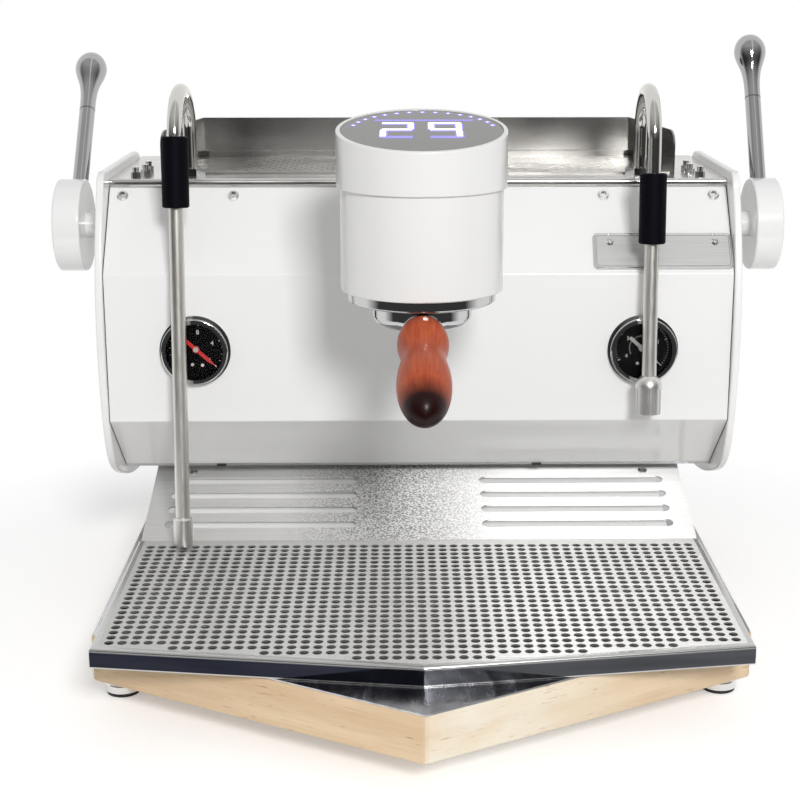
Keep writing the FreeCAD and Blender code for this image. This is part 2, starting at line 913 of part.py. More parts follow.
def rear_panel():
    panel = box(-body_half, body_half, body_rear_y - panel_sheet, body_rear_y, floor_z - floor_sheet, deck_z)
    cutters = []
    for row in range(vent_count):
        slot = long_slot(-vent_half_length, vent_half_length, vent_width, 2 * panel_sheet)
        slot.rotate(ORIGIN, X_AXIS, 90)
        slot.translate(vec(vent_centre_x, body_rear_y, vent_first_z + row * vent_pitch))
        cutters += [slot, mirrored(slot)]
    deep = 4 * panel_sheet
    start_y = body_rear_y - deep
    cutters.append(box(switch_x - switch_half_width - panel_gap, switch_x + switch_half_width + panel_gap,
                       start_y, body_rear_y + deep, switch_z - switch_half_height - panel_gap,
                       switch_z + switch_half_height + panel_gap))
    cutters.append(box(inlet_x - inlet_half_width - panel_gap, inlet_x + inlet_half_width + panel_gap,
                       start_y, body_rear_y + deep, switch_z - inlet_half_height - panel_gap,
                       switch_z + inlet_half_height + panel_gap))
    cutters.append(rod(water_in_radius + easy, vec(water_in_x, start_y, water_in_z), Y_AXIS, 2 * deep))
    return panel.cut(cutters)


# Cup rail and floor

def rail_line(inset):
    """The fence seen from above, from its right front end round the rear, moved inwards."""
    line = [(rail_front_half, rail_front_y), (rail_rear_half, rail_rear_y), (-rail_rear_half, rail_rear_y),
            (-rail_front_half, rail_front_y)]
    return offset_path(line, inset)


def cup_rail():
    """Three-sided fence with rounded front ends and a ledge along its rear wall's foot."""
    top = deck_z + rail_height
    inner = rail_line(rail_sheet)
    fence = prism_z(rail_line(0) + inner[::-1], deck_z, top)

    def front_end(edge):
        room = edge.BoundBox
        return room.ZMin > top - slip and room.YMax < rail_front_y + rail_sheet and room.XLength > slip

    fence = rounded(fence, rail_round, front_end)
    deep = rail_line(rail_sheet + ledge_depth)
    foot_z = deck_z + cup_floor_sheet
    ledge = prism_z([inner[1], inner[2], deep[2], deep[1]], foot_z, foot_z + ledge_height)
    return joined([fence, ledge])


def cup_floor():
    """Perforated sheet inside the fence, its holes in staggered rows."""
    front, rear = rail_line(rail_sheet)[:2]
    share = (cup_floor_front_y - front[1]) / (rear[1] - front[1])
    half = front[0] + (rear[0] - front[0]) * share
    outline = [(half, cup_floor_front_y), rear, (-rear[0], rear[1]), (-half, cup_floor_front_y)]
    holes = []
    for row in range(cup_hole_rows):
        stagger = cup_hole_pitch / 2 * (row % 2)
        for column in range(-cup_hole_half_columns, cup_hole_half_columns + 1):
            holes.append((column * cup_hole_pitch + stagger, cup_hole_first_y + row * cup_hole_pitch))
    sheet = perforated(outline, holes, cup_hole_radius, deck_z, deck_z + cup_floor_sheet)
    return sheet.cut(deck_slits())


# Chassis and what it carries

def chassis_frame():
    """Four posts with rails, a cross beam for the group's neck, and two boiler saddles."""
    high = deck_z - deck_sheet
    rear_y = body_rear_y - panel_sheet - beam
    inner = body_half - beam
    bars = [box(-inner, inner, beam_front_y, beam_front_y + beam, beam_z, beam_z + beam_height),
            box(-inner, inner, rear_y, rear_y + beam, high - beam, high)]
    for x in (-body_half, inner):
        bars.append(box(x, x + beam, beam_front_y, beam_front_y + beam, floor_z, high))
        bars.append(box(x, x + beam, rear_y, rear_y + beam, floor_z, high))
        bars.append(box(x, x + beam, beam_front_y, rear_y + beam, high - beam, high))
    cradle = rod(boiler_radius + seat_gap, vec(-body_half, boiler_y, boiler_z), X_AXIS, 2 * body_half)
    saddles = []
    for x in (-saddle_x, saddle_x):
        block = box(x - saddle_half, x + saddle_half, boiler_y - saddle_half_depth,
                    boiler_y + saddle_half_depth, floor_z, floor_z + saddle_height)
        saddles.append(block.cut(cradle))
    return Part.makeCompound([joined(bars)] + saddles)


def boiler_drum(radius, half, corner):
    drum = rod(radius, vec(-half, boiler_y, boiler_z), X_AXIS, 2 * half)
    return rounded(drum, corner, lambda edge: isinstance(edge.Curve, Part.Circle))


def steam_boiler():
    """Hollow drum with rounded ends, a heater flange at one end and two steam outlets."""
    drum = boiler_drum(boiler_radius, boiler_half, boiler_round)
    flange = rod(boiler_flange_radius, vec(boiler_half, boiler_y, boiler_z), X_AXIS, boiler_flange_length)
    inside = boiler_drum(boiler_radius - boiler_wall, boiler_half - boiler_wall, boiler_round - boiler_wall)
    outlets = [rod(pipe_bore, vec(x, boiler_y, boiler_z), Z_AXIS, boiler_radius)
               for x in (-boiler_feed_x, boiler_feed_x)]
    return joined([drum, flange]).cut([inside] + outlets)


def brew_boiler():
    """Hollow upright boiler behind the group, held by a pad on the cross beam."""
    height = brew_high_z - brew_low_z
    drum = rod(brew_radius, vec(0, brew_y, brew_low_z), Z_AXIS, height)
    pad = box(-brew_pad_half, brew_pad_half, beam_front_y + beam, brew_y, beam_z, beam_z + beam_height)
    inside = rod(brew_radius - brew_wall, vec(0, brew_y, brew_low_z + brew_wall), Z_AXIS,
                 height - 2 * brew_wall)
    inlet = rod(pipe_bore, vec(-brew_radius, brew_y, brew_pipe_z), X_AXIS, brew_radius)
    return joined([drum, pad]).cut([inside, inlet])


def pump():
    """Pump head and its motor on one foot."""
    motor_y = pump_front_y + pump_length
    head = rod(pump_radius, vec(pump_x, pump_front_y, pump_z), Y_AXIS, pump_length)
    motor = rod(motor_radius, vec(pump_x, motor_y, pump_z), Y_AXIS, motor_length)
    stand = box(pump_x - motor_foot_half, pump_x + motor_foot_half, motor_y + motor_foot_inset,
                motor_y + motor_length - motor_foot_inset, floor_z, pump_z)
    return joined([head, motor, stand])


def control_box():
    case = box(control_x0, control_x1, control_y0, control_y1, floor_z, floor_z + control_height)
    return rounded(case, control_round, upright)


def pipe(points, bend):
    return swept_tube(bent_path(points, bend), pipe_radius, pipe_bore)


def pipes():
    """Valve to wand and boiler to valve on each side, and pump to brew boiler."""
    runs = []
    for side, x in ((-1, steam_wand_x), (1, water_wand_x)):
        valve_x = side * (valve_inner_x + valve_radius)
        feed_x = side * boiler_feed_x
        runs.append(pipe([vec(x, wand_leg_y, socket_low_z), vec(x, wand_leg_y, wand_pipe_z),
                          vec(side * valve_inner_x, wand_leg_y, wand_pipe_z)], wand_pipe_bend))
        runs.append(pipe([vec(feed_x, boiler_y, boiler_z + boiler_radius),
                          vec(feed_x, boiler_y, boiler_pipe_z), vec(valve_x, boiler_y, boiler_pipe_z),
                          vec(valve_x, knob_y, boiler_pipe_z), vec(valve_x, knob_y, knob_z - valve_radius)],
                         pipe_bend))
    pump_y = pump_front_y + pump_length / 2
    runs.append(pipe([vec(pump_x, pump_y, pump_z + pump_radius), vec(pump_x, pump_y, brew_pipe_z),
                      vec(pump_x, brew_y, brew_pipe_z), vec(-brew_radius, brew_y, brew_pipe_z)], pipe_bend))
    return Part.makeCompound(runs)


# Group

def slanted_block(offset):
    """Everything over the group's slanted top, moved down by an offset."""
    size = 4 * head_radius
    block = box(-size, size, -size, size, 0, size)
    block.rotate(ORIGIN, X_AXIS, head_tilt)
    block.translate(vec(0, group_y, head_axis_z - offset))
    return block


def group_rod(radius, low, high):
    return rod(radius, vec(0, group_y, low), Z_AXIS, high - low)


def group_turned(profile):
    return turned(profile, vec(0, group_y, 0))


def neck_window():
    gap = panel_gap
    return box(-neck_half - gap, neck_half + gap, group_y, front_fold_y, neck_low_z - gap, neck_high_z + gap)


def group_cover_lower():
    inner = cover_radius - cover_wall
    lip = collar_radius + seat_gap
    shell = group_turned([(lip, cover_low_z), (cover_radius, cover_low_z), (cover_radius, cover_high_z),
                          (inner, cover_high_z), (inner, cover_low_z + cover_lip),
                          (lip, cover_low_z + cover_lip)])
    shell = rounded(shell, cover_round, ring_edge(cover_radius, cover_low_z))
    return shell.cut(neck_window())


def group_cover_upper():
    """The wider band with its slanted rim and a seat for the display glass."""
    top = head_axis_z + head_radius
    band = group_rod(head_radius, cover_high_z, top).cut(slanted_block(0))
    band = rounded(band, head_edge, lambda edge: edge.Length > head_radius)
    seat = group_rod(head_radius - head_wall, cover_high_z, top).common(slanted_block(glass_depth))
    hollow = group_rod(head_radius - head_wall - display_ledge, cover_high_z + head_floor, top)
    return band.cut([seat, hollow])


def display_glass():
    disc = group_rod(head_radius - head_wall - seat_gap, cover_high_z, head_axis_z + head_radius)
    disc = disc.common(slanted_block(glass_depth))
    return disc.cut(slanted_block(glass_recess))


def group_body():
    """Core with the skirt that the bayonet ring is screwed to."""
    return group_turned([(0, core_low_z), (skirt_inner, core_low_z), (skirt_inner, cover_low_z),
                         (skirt_outer, cover_low_z), (skirt_outer, core_low_z - cover_lip),
                         (core_radius, core_low_z - cover_lip), (core_radius, core_high_z),
                         (0, core_high_z)])


def group_neck():
    """Casting from the group's body back to a flange on the cross beam."""
    neck = box(-neck_half, neck_half, group_y, beam_front_y - neck_flange, neck_low_z, neck_high_z)
    neck = rounded(neck, neck_round, lambda edge: edge.BoundBox.YLength > neck_half)
    flange = box(-neck_flange_half, neck_flange_half, beam_front_y - neck_flange, beam_front_y, beam_z,
                 beam_z + beam_height)
    return joined([neck, flange]).cut(group_rod(core_radius + slip, neck_low_z - beam, neck_high_z + beam))


def sector(inner, outer, angle, low, high):
    """Part of a ring about the group's axis, centred on the side towards +X."""
    half = math.radians(angle / 2)
    reach = 2 * outer
    ring = group_rod(outer, low, high).cut(group_rod(inner, low, high))
    wedge = prism_z([(0, 0), (reach * math.cos(half), -reach * math.sin(half)),
                     (reach * math.cos(half), reach * math.sin(half))], low, high)
    wedge.translate(vec(0, group_y, 0))
    return ring.common(wedge)


def group_collar():
    """Bayonet ring: the lugs slide on its lip and drop out through two notches."""
    lug_room = lug_radius + seat_gap
    lip_top = lug_low_z - seat_gap
    throat = filter_radius + seat_gap
    ring = group_turned([(throat, collar_low_z), (collar_radius, collar_low_z), (collar_radius, cover_low_z),
                         (lug_room, cover_low_z), (lug_room, lip_top), (throat, lip_top)])
    ring = rounded(ring, collar_round, ring_edge(collar_radius, collar_low_z))
    notches = []
    for side in (0, FULL_TURN / 2):
        notch = sector(throat - beam, lug_room, lug_angle + lug_play_angle, collar_low_z - beam, cover_low_z)
        notch.rotate(vec(0, group_y, 0), Z_AXIS, side - lock_turn)
        notches.append(notch)
    return ring.cut(notches)


def group_gasket():
    low = filter_high_z + basket_rim_thickness + seat_gap
    return group_turned([(gasket_inner, low), (gasket_outer, low), (gasket_outer, core_low_z),
                         (gasket_inner, core_low_z)])


def shower_screen():
    screen = group_rod(screen_radius, core_low_z - screen_thickness, core_low_z)
    return screen.cut(ring_holes(screen_rings, screen_ring_step, screen_ring_holes, screen_hole_radius,
                                 core_low_z - 2 * screen_thickness, core_low_z))


# Portafilter

def handle_direction():
    slope = math.radians(handle_slope)
    return vec(0, -math.cos(slope), -math.sin(slope))


def on_handle(shape):
    """Puts a piece drawn about +Z on the handle's axis."""
    return placed(shape, vec(0, *handle_root), handle_direction())


def portafilter_body():
    """Cup with two lugs, and the arm and tang that carry the handle."""
    floor = filter_low_z + filter_floor
    cup = group_turned([(filter_radius, filter_low_z), (filter_radius, filter_high_z),
                        (filter_bore, filter_high_z), (filter_bore, floor), (spout_bore, floor),
                        (spout_bore, filter_low_z)])
    cup = rounded(cup, filter_round, ring_edge(filter_radius, filter_low_z))
    wall = filter_radius - filter_bore
    lugs = []
    for side in (0, FULL_TURN / 2):
        lug = sector(filter_bore + wall / 2, lug_radius, lug_angle, lug_low_z, lug_high_z)
        lug.rotate(vec(0, group_y, 0), Z_AXIS, side)
        lugs.append(lug)
    arm = on_handle(rod(arm_radius, vec(0, 0, -2 * wall), Z_AXIS, arm_length + 2 * wall))
    tang = on_handle(rod(tang_radius, ORIGIN, Z_AXIS, tang_length))
    return joined([cup, arm, tang] + lugs).cut(group_rod(filter_bore, floor, filter_high_z))


def filter_basket():
    """Basket that hangs by its rim on the cup's top edge."""
    inner = basket_radius - basket_wall
    floor = basket_low_z + basket_wall
    rim_top = filter_high_z + basket_rim_thickness
    basket = group_turned([(0, basket_low_z), (basket_radius, basket_low_z), (basket_radius, filter_high_z),
                           (basket_rim, filter_high_z), (basket_rim, rim_top), (inner, rim_top),
                           (inner, floor), (0, floor)])
    return basket.cut(ring_holes(screen_rings, screen_ring_step, screen_ring_holes, basket_hole_radius,
                                 basket_low_z, floor))


def portafilter_spout():
    return group_turned([(spout_bore, spout_low_z), (spout_tip_radius, spout_low_z),
                         (spout_radius, filter_low_z), (spout_bore, filter_low_z)])


def handle_ferrule():
    bore = tang_radius + easy
    return on_handle(turned([(bore, arm_length), (ferrule_root_radius, arm_length),
                             (ferrule_radius, ferrule_end - ferrule_lip), (ferrule_radius, ferrule_end),
                             (bore, ferrule_end)]))


def portafilter_handle():
    """Turned wooden grip: two bulbs with a neck between them and a round end."""
    points = [vec(radius, 0, along) for along, radius in handle_shape] + [vec(0, 0, handle_tip)]
    curve = Part.BSplineCurve()
    curve.interpolate(points, FinalTangent=vec(-1, 0, 0))
    start = points[0]
    axis_start = vec(0, 0, start.z)
    outline = Part.Wire([curve.toShape(), Part.LineSegment(points[-1], axis_start).toShape(),
                         Part.LineSegment(axis_start, start).toShape()])
    grip = Part.Face(outline).revolve(ORIGIN, Z_AXIS, FULL_TURN)
    return on_handle(grip.cut(rod(tang_radius + easy, ORIGIN, Z_AXIS, tang_length + easy)))


# Gauges

def gauge_place(shape, side):
    """Puts a piece drawn about +Z, with its face upwards, on the upright facet."""
    moved = shape.copy()
    moved.rotate(ORIGIN, X_AXIS, 90)
    moved.translate(vec(side * gauge_x, front_fold_y, gauge_z))
    return moved


def gauge_case():
    """Can behind the panel, flange on it and bezel in front, in one turned piece."""
    lip = bezel_depth - bezel_lip
    case = turned([(0, -gauge_can_length), (gauge_can_radius, -gauge_can_length), (gauge_can_radius, 0),
                   (gauge_flange_radius, 0), (gauge_flange_radius, gauge_flange),
                   (bezel_radius, gauge_flange), (bezel_radius, bezel_depth), (bezel_opening, bezel_depth),
                   (bezel_opening, lip), (gauge_cavity, lip), (gauge_cavity, gauge_floor), (0, gauge_floor)])
    case = rounded(case, bezel_round, ring_edge(bezel_radius, bezel_depth))
    return case.cut(staff_hole())


def staff_hole():
    depth = needle_staff_depth + seat_gap
    return rod(needle_staff_radius + slip, vec(0, 0, gauge_floor - depth), Z_AXIS, depth + dial_thickness)


def gauge_dial():
    dial = rod(gauge_cavity - easy, vec(0, 0, gauge_floor), Z_AXIS, dial_thickness)
    return dial.cut(staff_hole())


def gauge_glass():
    return rod(gauge_cavity - easy, vec(0, 0, bezel_depth - bezel_lip - glass_sheet), Z_AXIS, glass_sheet)


def gauge_needle():
    """Pointer on its staff, drawn towards +X and then turned to its rest."""
    low = gauge_floor + dial_thickness + seat_gap
    half = needle_width / 2
    blade = prism_z([(-needle_tail, -half), (needle_taper, -half), (needle_length, 0), (needle_taper, half),
                     (-needle_tail, half)], low, low + needle_thickness)
    hub = rod(needle_hub_radius, vec(0, 0, low), Z_AXIS, 2 * needle_thickness)
    root = gauge_floor - needle_staff_depth
    staff = rod(needle_staff_radius, vec(0, 0, root), Z_AXIS, low + needle_thickness - root)
    needle = joined([blade, hub, staff])
    needle.rotate(ORIGIN, Z_AXIS, needle_zero)
    return needle


def gauge_pair(shape):
    return Part.makeCompound([gauge_place(shape, side) for side in (-1, 1)])


# Taps

def tap_direction(lean):
    slope = math.radians(lean)
    return vec(0, math.sin(slope), math.cos(slope))


def knob():
    """Disc with a domed cap, its hub and the spindle that enters the valve, on the right side."""
    disc = rod(knob_radius, vec(knob_inner_x, 0, 0), X_AXIS, knob_outer_x - knob_inner_x)
    disc = rounded(disc, knob_round, lambda edge: isinstance(edge.Curve, Part.Circle))
    rise = knob_cap_x - knob_outer_x
    ball_radius = (knob_cap_radius ** 2 + rise ** 2) / (2 * rise)
    ball = Part.makeSphere(ball_radius, vec(knob_cap_x - ball_radius, 0, 0))
    cap = ball.common(rod(knob_radius, vec(knob_middle_x, 0, 0), X_AXIS, knob_radius))
    nut_face = body_half + side_thickness + valve_nut_thickness
    hub = rod(hub_radius, vec(nut_face + seat_gap, 0, 0), X_AXIS, knob_inner_x - nut_face)
    spindle = rod(spindle_radius, vec(spindle_end_x + seat_gap, 0, 0), X_AXIS, knob_inner_x - spindle_end_x)
    return joined([disc, cap, hub, spindle])


def tap_knob(side, lever_x, lean):
    """The knob with the hole that its lever stands in."""
    direction = tap_direction(lean)
    start = vec(lever_x, 0, 0) + direction * (rod_root - easy)
    solid = knob().cut(rod(rod_radius + easy, start, direction, knob_radius))
    solid.translate(vec(0, knob_y, knob_z))
    return solid if side > 0 else mirrored(solid)


def tap_lever(side, lever_x, lean):
    """Straight rod with a teardrop grip."""
    tip = vec(0, 0, bulb_reach + bulb_radius)
    root = vec(rod_radius, 0, rod_root)
    start = vec(rod_radius, 0, bulb_start)
    points = [start] + [vec(radius, 0, along) for along, radius in
                        (bulb_middle, (bulb_reach, bulb_radius), bulb_crown)] + [tip]
    curve = Part.BSplineCurve()
    curve.interpolate(points, InitialTangent=vec(0, 0, 1), FinalTangent=vec(-1, 0, 0))
    foot_point = vec(0, 0, rod_root)
    outline = Part.Wire([Part.LineSegment(foot_point, root).toShape(),
                         Part.LineSegment(root, start).toShape(), curve.toShape(),
                         Part.LineSegment(tip, foot_point).toShape()])
    lever = Part.Face(outline).revolve(ORIGIN, Z_AXIS, FULL_TURN)
    lever = placed(lever, vec(lever_x, knob_y, knob_z), tap_direction(lean))
    return lever if side > 0 else mirrored(lever)


def tap_valve():
    """Valve body inside the side panel, its neck through the panel and the nut outside."""
    panel_face = body_half + side_thickness
    nut_face = panel_face + valve_nut_thickness
    bore = spindle_radius + slip
    return turned([(bore, spindle_end_x), (0, spindle_end_x), (0, valve_inner_x),
                   (valve_radius, valve_inner_x), (valve_radius, body_half), (valve_neck_radius, body_half),
                   (valve_neck_radius, panel_face), (valve_nut_radius, panel_face),
                   (valve_nut_radius, nut_face), (bore, nut_face)], vec(0, knob_y, knob_z), X_AXIS)


# Wands

def slant_direction():
    slant = math.radians(wand_slant)
    return vec(0, -math.sin(slant), -math.cos(slant))


def front_leg_start():
    slant = math.radians(wand_slant)
    return vec(0, wand_leg_y - wand_bend * (1 + math.cos(slant)), wand_bend_z + wand_bend * math.sin(slant))


def front_leg(along):
    return front_leg_start() + slant_direction() * along


def wand_path(end):
    """Rear leg, bend and front leg of a wand, to a length along the front leg."""
    rise = vec(0, wand_leg_y, wand_bend_z)
    crown = vec(0, wand_leg_y - wand_bend, wand_bend_z + wand_bend)
    return Part.Wire([Part.LineSegment(vec(0, wand_leg_y, wand_root_z), rise).toShape(),
                      Part.Arc(rise, crown, front_leg_start()).toShape(),
                      Part.LineSegment(front_leg_start(), front_leg(end)).toShape()])


def on_deck(shape, side):
    """Moves a piece of a wand, drawn over the middle of the machine, to its side and turns it."""
    x, turn = (steam_wand_x, steam_wand_turn) if side < 0 else (water_wand_x, water_wand_turn)
    piece = shape.copy()
    piece.rotate(vec(0, wand_leg_y, 0), Z_AXIS, turn)
    piece.translate(vec(x, 0, 0))
    return piece


def wand_tube(side, end):
    return on_deck(swept_tube(wand_path(end), wand_radius, wand_bore), side)


def on_front_leg(shape, side, along):
    """Puts a piece drawn about +Z on a wand's front leg, with +Z down the leg."""
    return on_deck(placed(shape, front_leg(along), slant_direction()), side)


def wand_sleeve(side, along):
    bore = wand_radius + easy
    narrow = sleeve_radius - sleeve_edge
    sleeve = turned([(bore, 0), (narrow, 0), (sleeve_radius, sleeve_edge),
                     (sleeve_radius, sleeve_length - sleeve_edge), (narrow, sleeve_length),
                     (bore, sleeve_length)])
    return on_front_leg(sleeve, side, along)


def steam_tip():
    """Steel tip over the tube's end, with steam holes out of its small cavity."""
    bore = wand_radius + easy
    cavity = tip_cover + tip_cavity
    tip = turned([(bore, 0), (tip_radius - tip_edge, 0), (tip_radius, tip_edge), (tip_radius, tip_length),
                  (0, tip_length), (0, cavity), (bore, cavity)])
    tip = rounded(tip, tip_round, ring_edge(tip_radius, tip_length))
    holes = []
    for place in range(tip_holes):
        hole = rod(tip_hole_radius, vec(0, 0, cavity), vec(1, 0, 1), tip_length)
        hole.rotate(ORIGIN, Z_AXIS, FULL_TURN * (place + 1 / 2) / tip_holes)
        holes.append(hole)
    return on_front_leg(tip.cut(holes), -1, steam_tube_end - tip_cover)


def water_nozzle():
    """Domed collar over a slightly narrower fluted nozzle with an open mouth."""
    ball = Part.makeSphere(nozzle_radius, vec(0, 0, nozzle_radius))
    dome = ball.common(rod(nozzle_radius, ORIGIN, Z_AXIS, nozzle_radius))
    skirt = rod(nozzle_radius, vec(0, 0, nozzle_radius), Z_AXIS, nozzle_skirt)
    fluted_top = nozzle_radius + nozzle_skirt
    body = rod(nozzle_waist, vec(0, 0, nozzle_radius), Z_AXIS, nozzle_length - nozzle_radius)
    cutters = [rod(nozzle_bore, vec(0, 0, nozzle_length - nozzle_bore_depth), Z_AXIS, nozzle_bore_depth),
               rod(wand_radius + easy, ORIGIN, Z_AXIS, nozzle_cover + easy),
               rod(wand_bore, ORIGIN, Z_AXIS, nozzle_length)]
    for place in range(nozzle_flutes):
        turn = 2 * math.pi * place / nozzle_flutes
        start = vec(nozzle_waist * math.cos(turn), nozzle_waist * math.sin(turn), fluted_top)
        cutters.append(rod(flute_radius, start, Z_AXIS, nozzle_length))
    return on_front_leg(joined([dome, skirt, body]).cut(cutters), 1, water_tube_end - nozzle_cover)


def wand_nuts():
    """Hexagon nut on the deck with its socket below, in which the wand turns."""
    nut = prism_z(hexagon(nut_radius), deck_z, deck_z + nut_height)
    neck = rod(socket_radius, vec(0, 0, socket_low_z), Z_AXIS, deck_z - socket_low_z)
    bore = rod(wand_radius + slip, vec(0, 0, wand_root_z - seat_gap), Z_AXIS, deck_z)
    channel = rod(pipe_bore, vec(0, 0, socket_low_z), Z_AXIS, deck_z - socket_low_z)
    socket = joined([nut, neck]).cut([bore, channel])
    sockets = []
    for x in (steam_wand_x, water_wand_x):
        moved = socket.copy()
        moved.translate(vec(x, wand_leg_y, 0))
        sockets.append(moved)
    return Part.makeCompound(sockets)


# Rear panel fittings

def switch_rocker():
    """Rocker with rounded ends and a shallow valley, on its pin and tilted to its rest."""
    half_x = switch_half_width - switch_frame - seat_gap
    radius = switch_half_height - switch_frame - seat_gap
    block = rod(radius, vec(-half_x, 0, 0), X_AXIS, 2 * half_x)
    high = rocker_middle + rocker_rise
    keep = prism_x([(-rocker_back, -radius), (high, -radius), (rocker_middle, 0), (high, radius),
                    (-rocker_back, radius)], -half_x, half_x)
    reach = half_x + seat_gap + switch_frame / 2
    pin = rod(rocker_pin, vec(-reach, 0, 0), X_AXIS, 2 * reach)
    rocker = joined([block.common(keep), pin])
    rocker.rotate(ORIGIN, X_AXIS, rocker_tilt)
    rocker.translate(vec(switch_x, body_rear_y - rocker_depth, switch_z))
    return rocker


def switch_case():
    """Frame of the rocker, closed behind, with a hole for its pin on each side."""
    half_x = switch_half_width
    half_z = switch_half_height
    wall = switch_frame
    shell = box(-half_x, half_x, -switch_depth, 0, -half_z, half_z)
    flange = box(-half_x - wall, half_x + wall, 0, switch_flange, -half_z - wall, half_z + wall)
    hollow = box(wall - half_x, half_x - wall, wall - switch_depth, switch_flange, wall - half_z,
                 half_z - wall)
    reach = half_x - wall / 2 + slip
    pin_hole = rod(rocker_pin + slip, vec(-reach, -rocker_depth, 0), X_AXIS, 2 * reach)
    case = joined([shell, flange]).cut([hollow, pin_hole])
    case.translate(vec(switch_x, body_rear_y, switch_z))
    return case


def power_inlet():
    """Recessed socket for a mains lead, with three contact blades."""
    half_x = inlet_half_width
    half_z = inlet_half_height
    edge = inlet_flange
    wall = inlet_wall
    shell = box(-half_x, half_x, -inlet_depth, 0, -half_z, half_z)
    flange = box(-half_x - edge, half_x + edge, 0, inlet_flange_depth, -half_z - edge, half_z + edge)
    hollow = box(wall - half_x, half_x - wall, wall - inlet_depth, inlet_flange_depth, wall - half_z,
                 half_z - wall)
    blades = [box(x - blade_half_width, x + blade_half_width, -inlet_depth, -blade_recess,
                  z - blade_half_height, z + blade_half_height) for x, z in inlet_blades]
    inlet = joined([joined([shell, flange]).cut(hollow)] + blades)
    inlet.translate(vec(inlet_x, body_rear_y, switch_z))
    return inlet


def water_inlet():
    """Union through the rear panel, with its flange inside and a narrower neck in the panel."""
    flange_y = -panel_sheet - water_in_flange
    return turned([(water_in_bore, flange_y), (water_in_flange_radius, flange_y),
                   (water_in_flange_radius, -panel_sheet), (water_in_neck, -panel_sheet),
                   (water_in_neck, water_in_clear), (water_in_radius, water_in_clear),
                   (water_in_radius, water_in_length), (water_in_bore, water_in_length)],
                  vec(water_in_x, body_rear_y, water_in_z), Y_AXIS)


def all_nodes():
    """Every piece by its name, drawn about the tray."""
    right_side = side_panel()
    nodes = {
        "wood_base": wood_base(),
        "base_sheet": base_sheet(),
        "drip_tray": drip_tray(),
        "tray_grate": tray_grate(),
        "tray_rim": tray_rim(),
        "splash_panel": splash_panel(),
        "plinth": plinth(),
        "front_panel": front_panel(),
        "panel_screws": panel_screws(),
        "name_plate": name_plate(),
        "side_panel_left": mirrored(right_side),
        "side_panel_right": right_side,
        "top_deck": top_deck(),
        "deck_nuts": deck_nuts(),
        "cup_rail": cup_rail(),
        "cup_floor": cup_floor(),
        "floor_panel": floor_panel(),
        "rear_panel": rear_panel(),
        "chassis_frame": chassis_frame(),
        "steam_boiler": steam_boiler(),
        "brew_boiler": brew_boiler(),
        "pump": pump(),
        "control_box": control_box(),
        "pipes": pipes(),
        "group_body": group_body(),
        "group_neck": group_neck(),
        "group_cover_lower": group_cover_lower(),
        "group_cover_upper": group_cover_upper(),
        "display_glass": display_glass(),
        "group_collar": group_collar(),
        "group_gasket": group_gasket(),
        "shower_screen": shower_screen(),
        "portafilter_body": portafilter_body(),
        "filter_basket": filter_basket(),
        "portafilter_spout": portafilter_spout(),
        "handle_ferrule": handle_ferrule(),
        "portafilter_handle": portafilter_handle(),
        "gauge_cases": gauge_pair(gauge_case()),
        "gauge_dials": gauge_pair(gauge_dial()),
        "gauge_glasses": gauge_pair(gauge_glass()),
        "gauge_needle_left": gauge_place(gauge_needle(), -1),
        "gauge_needle_right": gauge_place(gauge_needle(), 1),
        "tap_valves": both_sides(tap_valve()),
        "steam_knob": tap_knob(-1, steam_lever_x, lean_left),
        "steam_lever": tap_lever(-1, steam_lever_x, lean_left),
        "water_knob": tap_knob(1, water_lever_x, lean_right),
        "water_lever": tap_lever(1, water_lever_x, lean_right),
        "wand_nuts": wand_nuts(),
        "steam_wand": wand_tube(-1, steam_tube_end),
        "steam_sleeve": wand_sleeve(-1, steam_sleeve_top),
        "steam_tip": steam_tip(),
        "water_wand": wand_tube(1, water_tube_end),
        "water_sleeve": wand_sleeve(1, water_sleeve_top),
        "water_nozzle": water_nozzle(),
        "switch_rocker": switch_rocker(),
        "rear_fittings": Part.makeCompound([switch_case(), power_inlet(), water_inlet()]),
    }
    for name, (x, y) in foot_places().items():
        nodes[name] = foot(x, y)
    return nodes


def counter_move(nodes):
    """The move that puts the origin on the counter, under the middle of the machine."""
    room = Part.makeCompound(list(nodes.values())).BoundBox
    return vec(-room.Center.x, -room.Center.y, -room.ZMin)


nodes = all_nodes()
to_counter = counter_move(nodes)
os.makedirs("parts", exist_ok=True)
for name, shape in nodes.items():
    shape.translate(to_counter)
    shape.exportStep("parts/" + name + ".step")
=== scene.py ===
import math

import bpy
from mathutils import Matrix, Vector


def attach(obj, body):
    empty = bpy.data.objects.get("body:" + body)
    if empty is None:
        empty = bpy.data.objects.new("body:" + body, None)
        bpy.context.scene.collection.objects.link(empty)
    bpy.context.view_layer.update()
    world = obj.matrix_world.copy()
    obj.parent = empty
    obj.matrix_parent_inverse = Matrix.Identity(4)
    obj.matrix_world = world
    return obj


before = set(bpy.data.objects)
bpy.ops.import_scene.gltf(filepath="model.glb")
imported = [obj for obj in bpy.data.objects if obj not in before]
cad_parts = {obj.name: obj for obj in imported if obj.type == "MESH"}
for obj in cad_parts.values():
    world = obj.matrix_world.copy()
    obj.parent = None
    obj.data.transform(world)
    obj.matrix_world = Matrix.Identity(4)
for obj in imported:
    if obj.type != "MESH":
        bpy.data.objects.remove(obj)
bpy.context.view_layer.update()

# Finish of the espresso machine's CAD pieces, its printed and lit marks, and the studio

MM = 0.001
TRAY = Vector((0.0, -184.5, 73.5))      # the tray's frame inside the part's frame, in mm

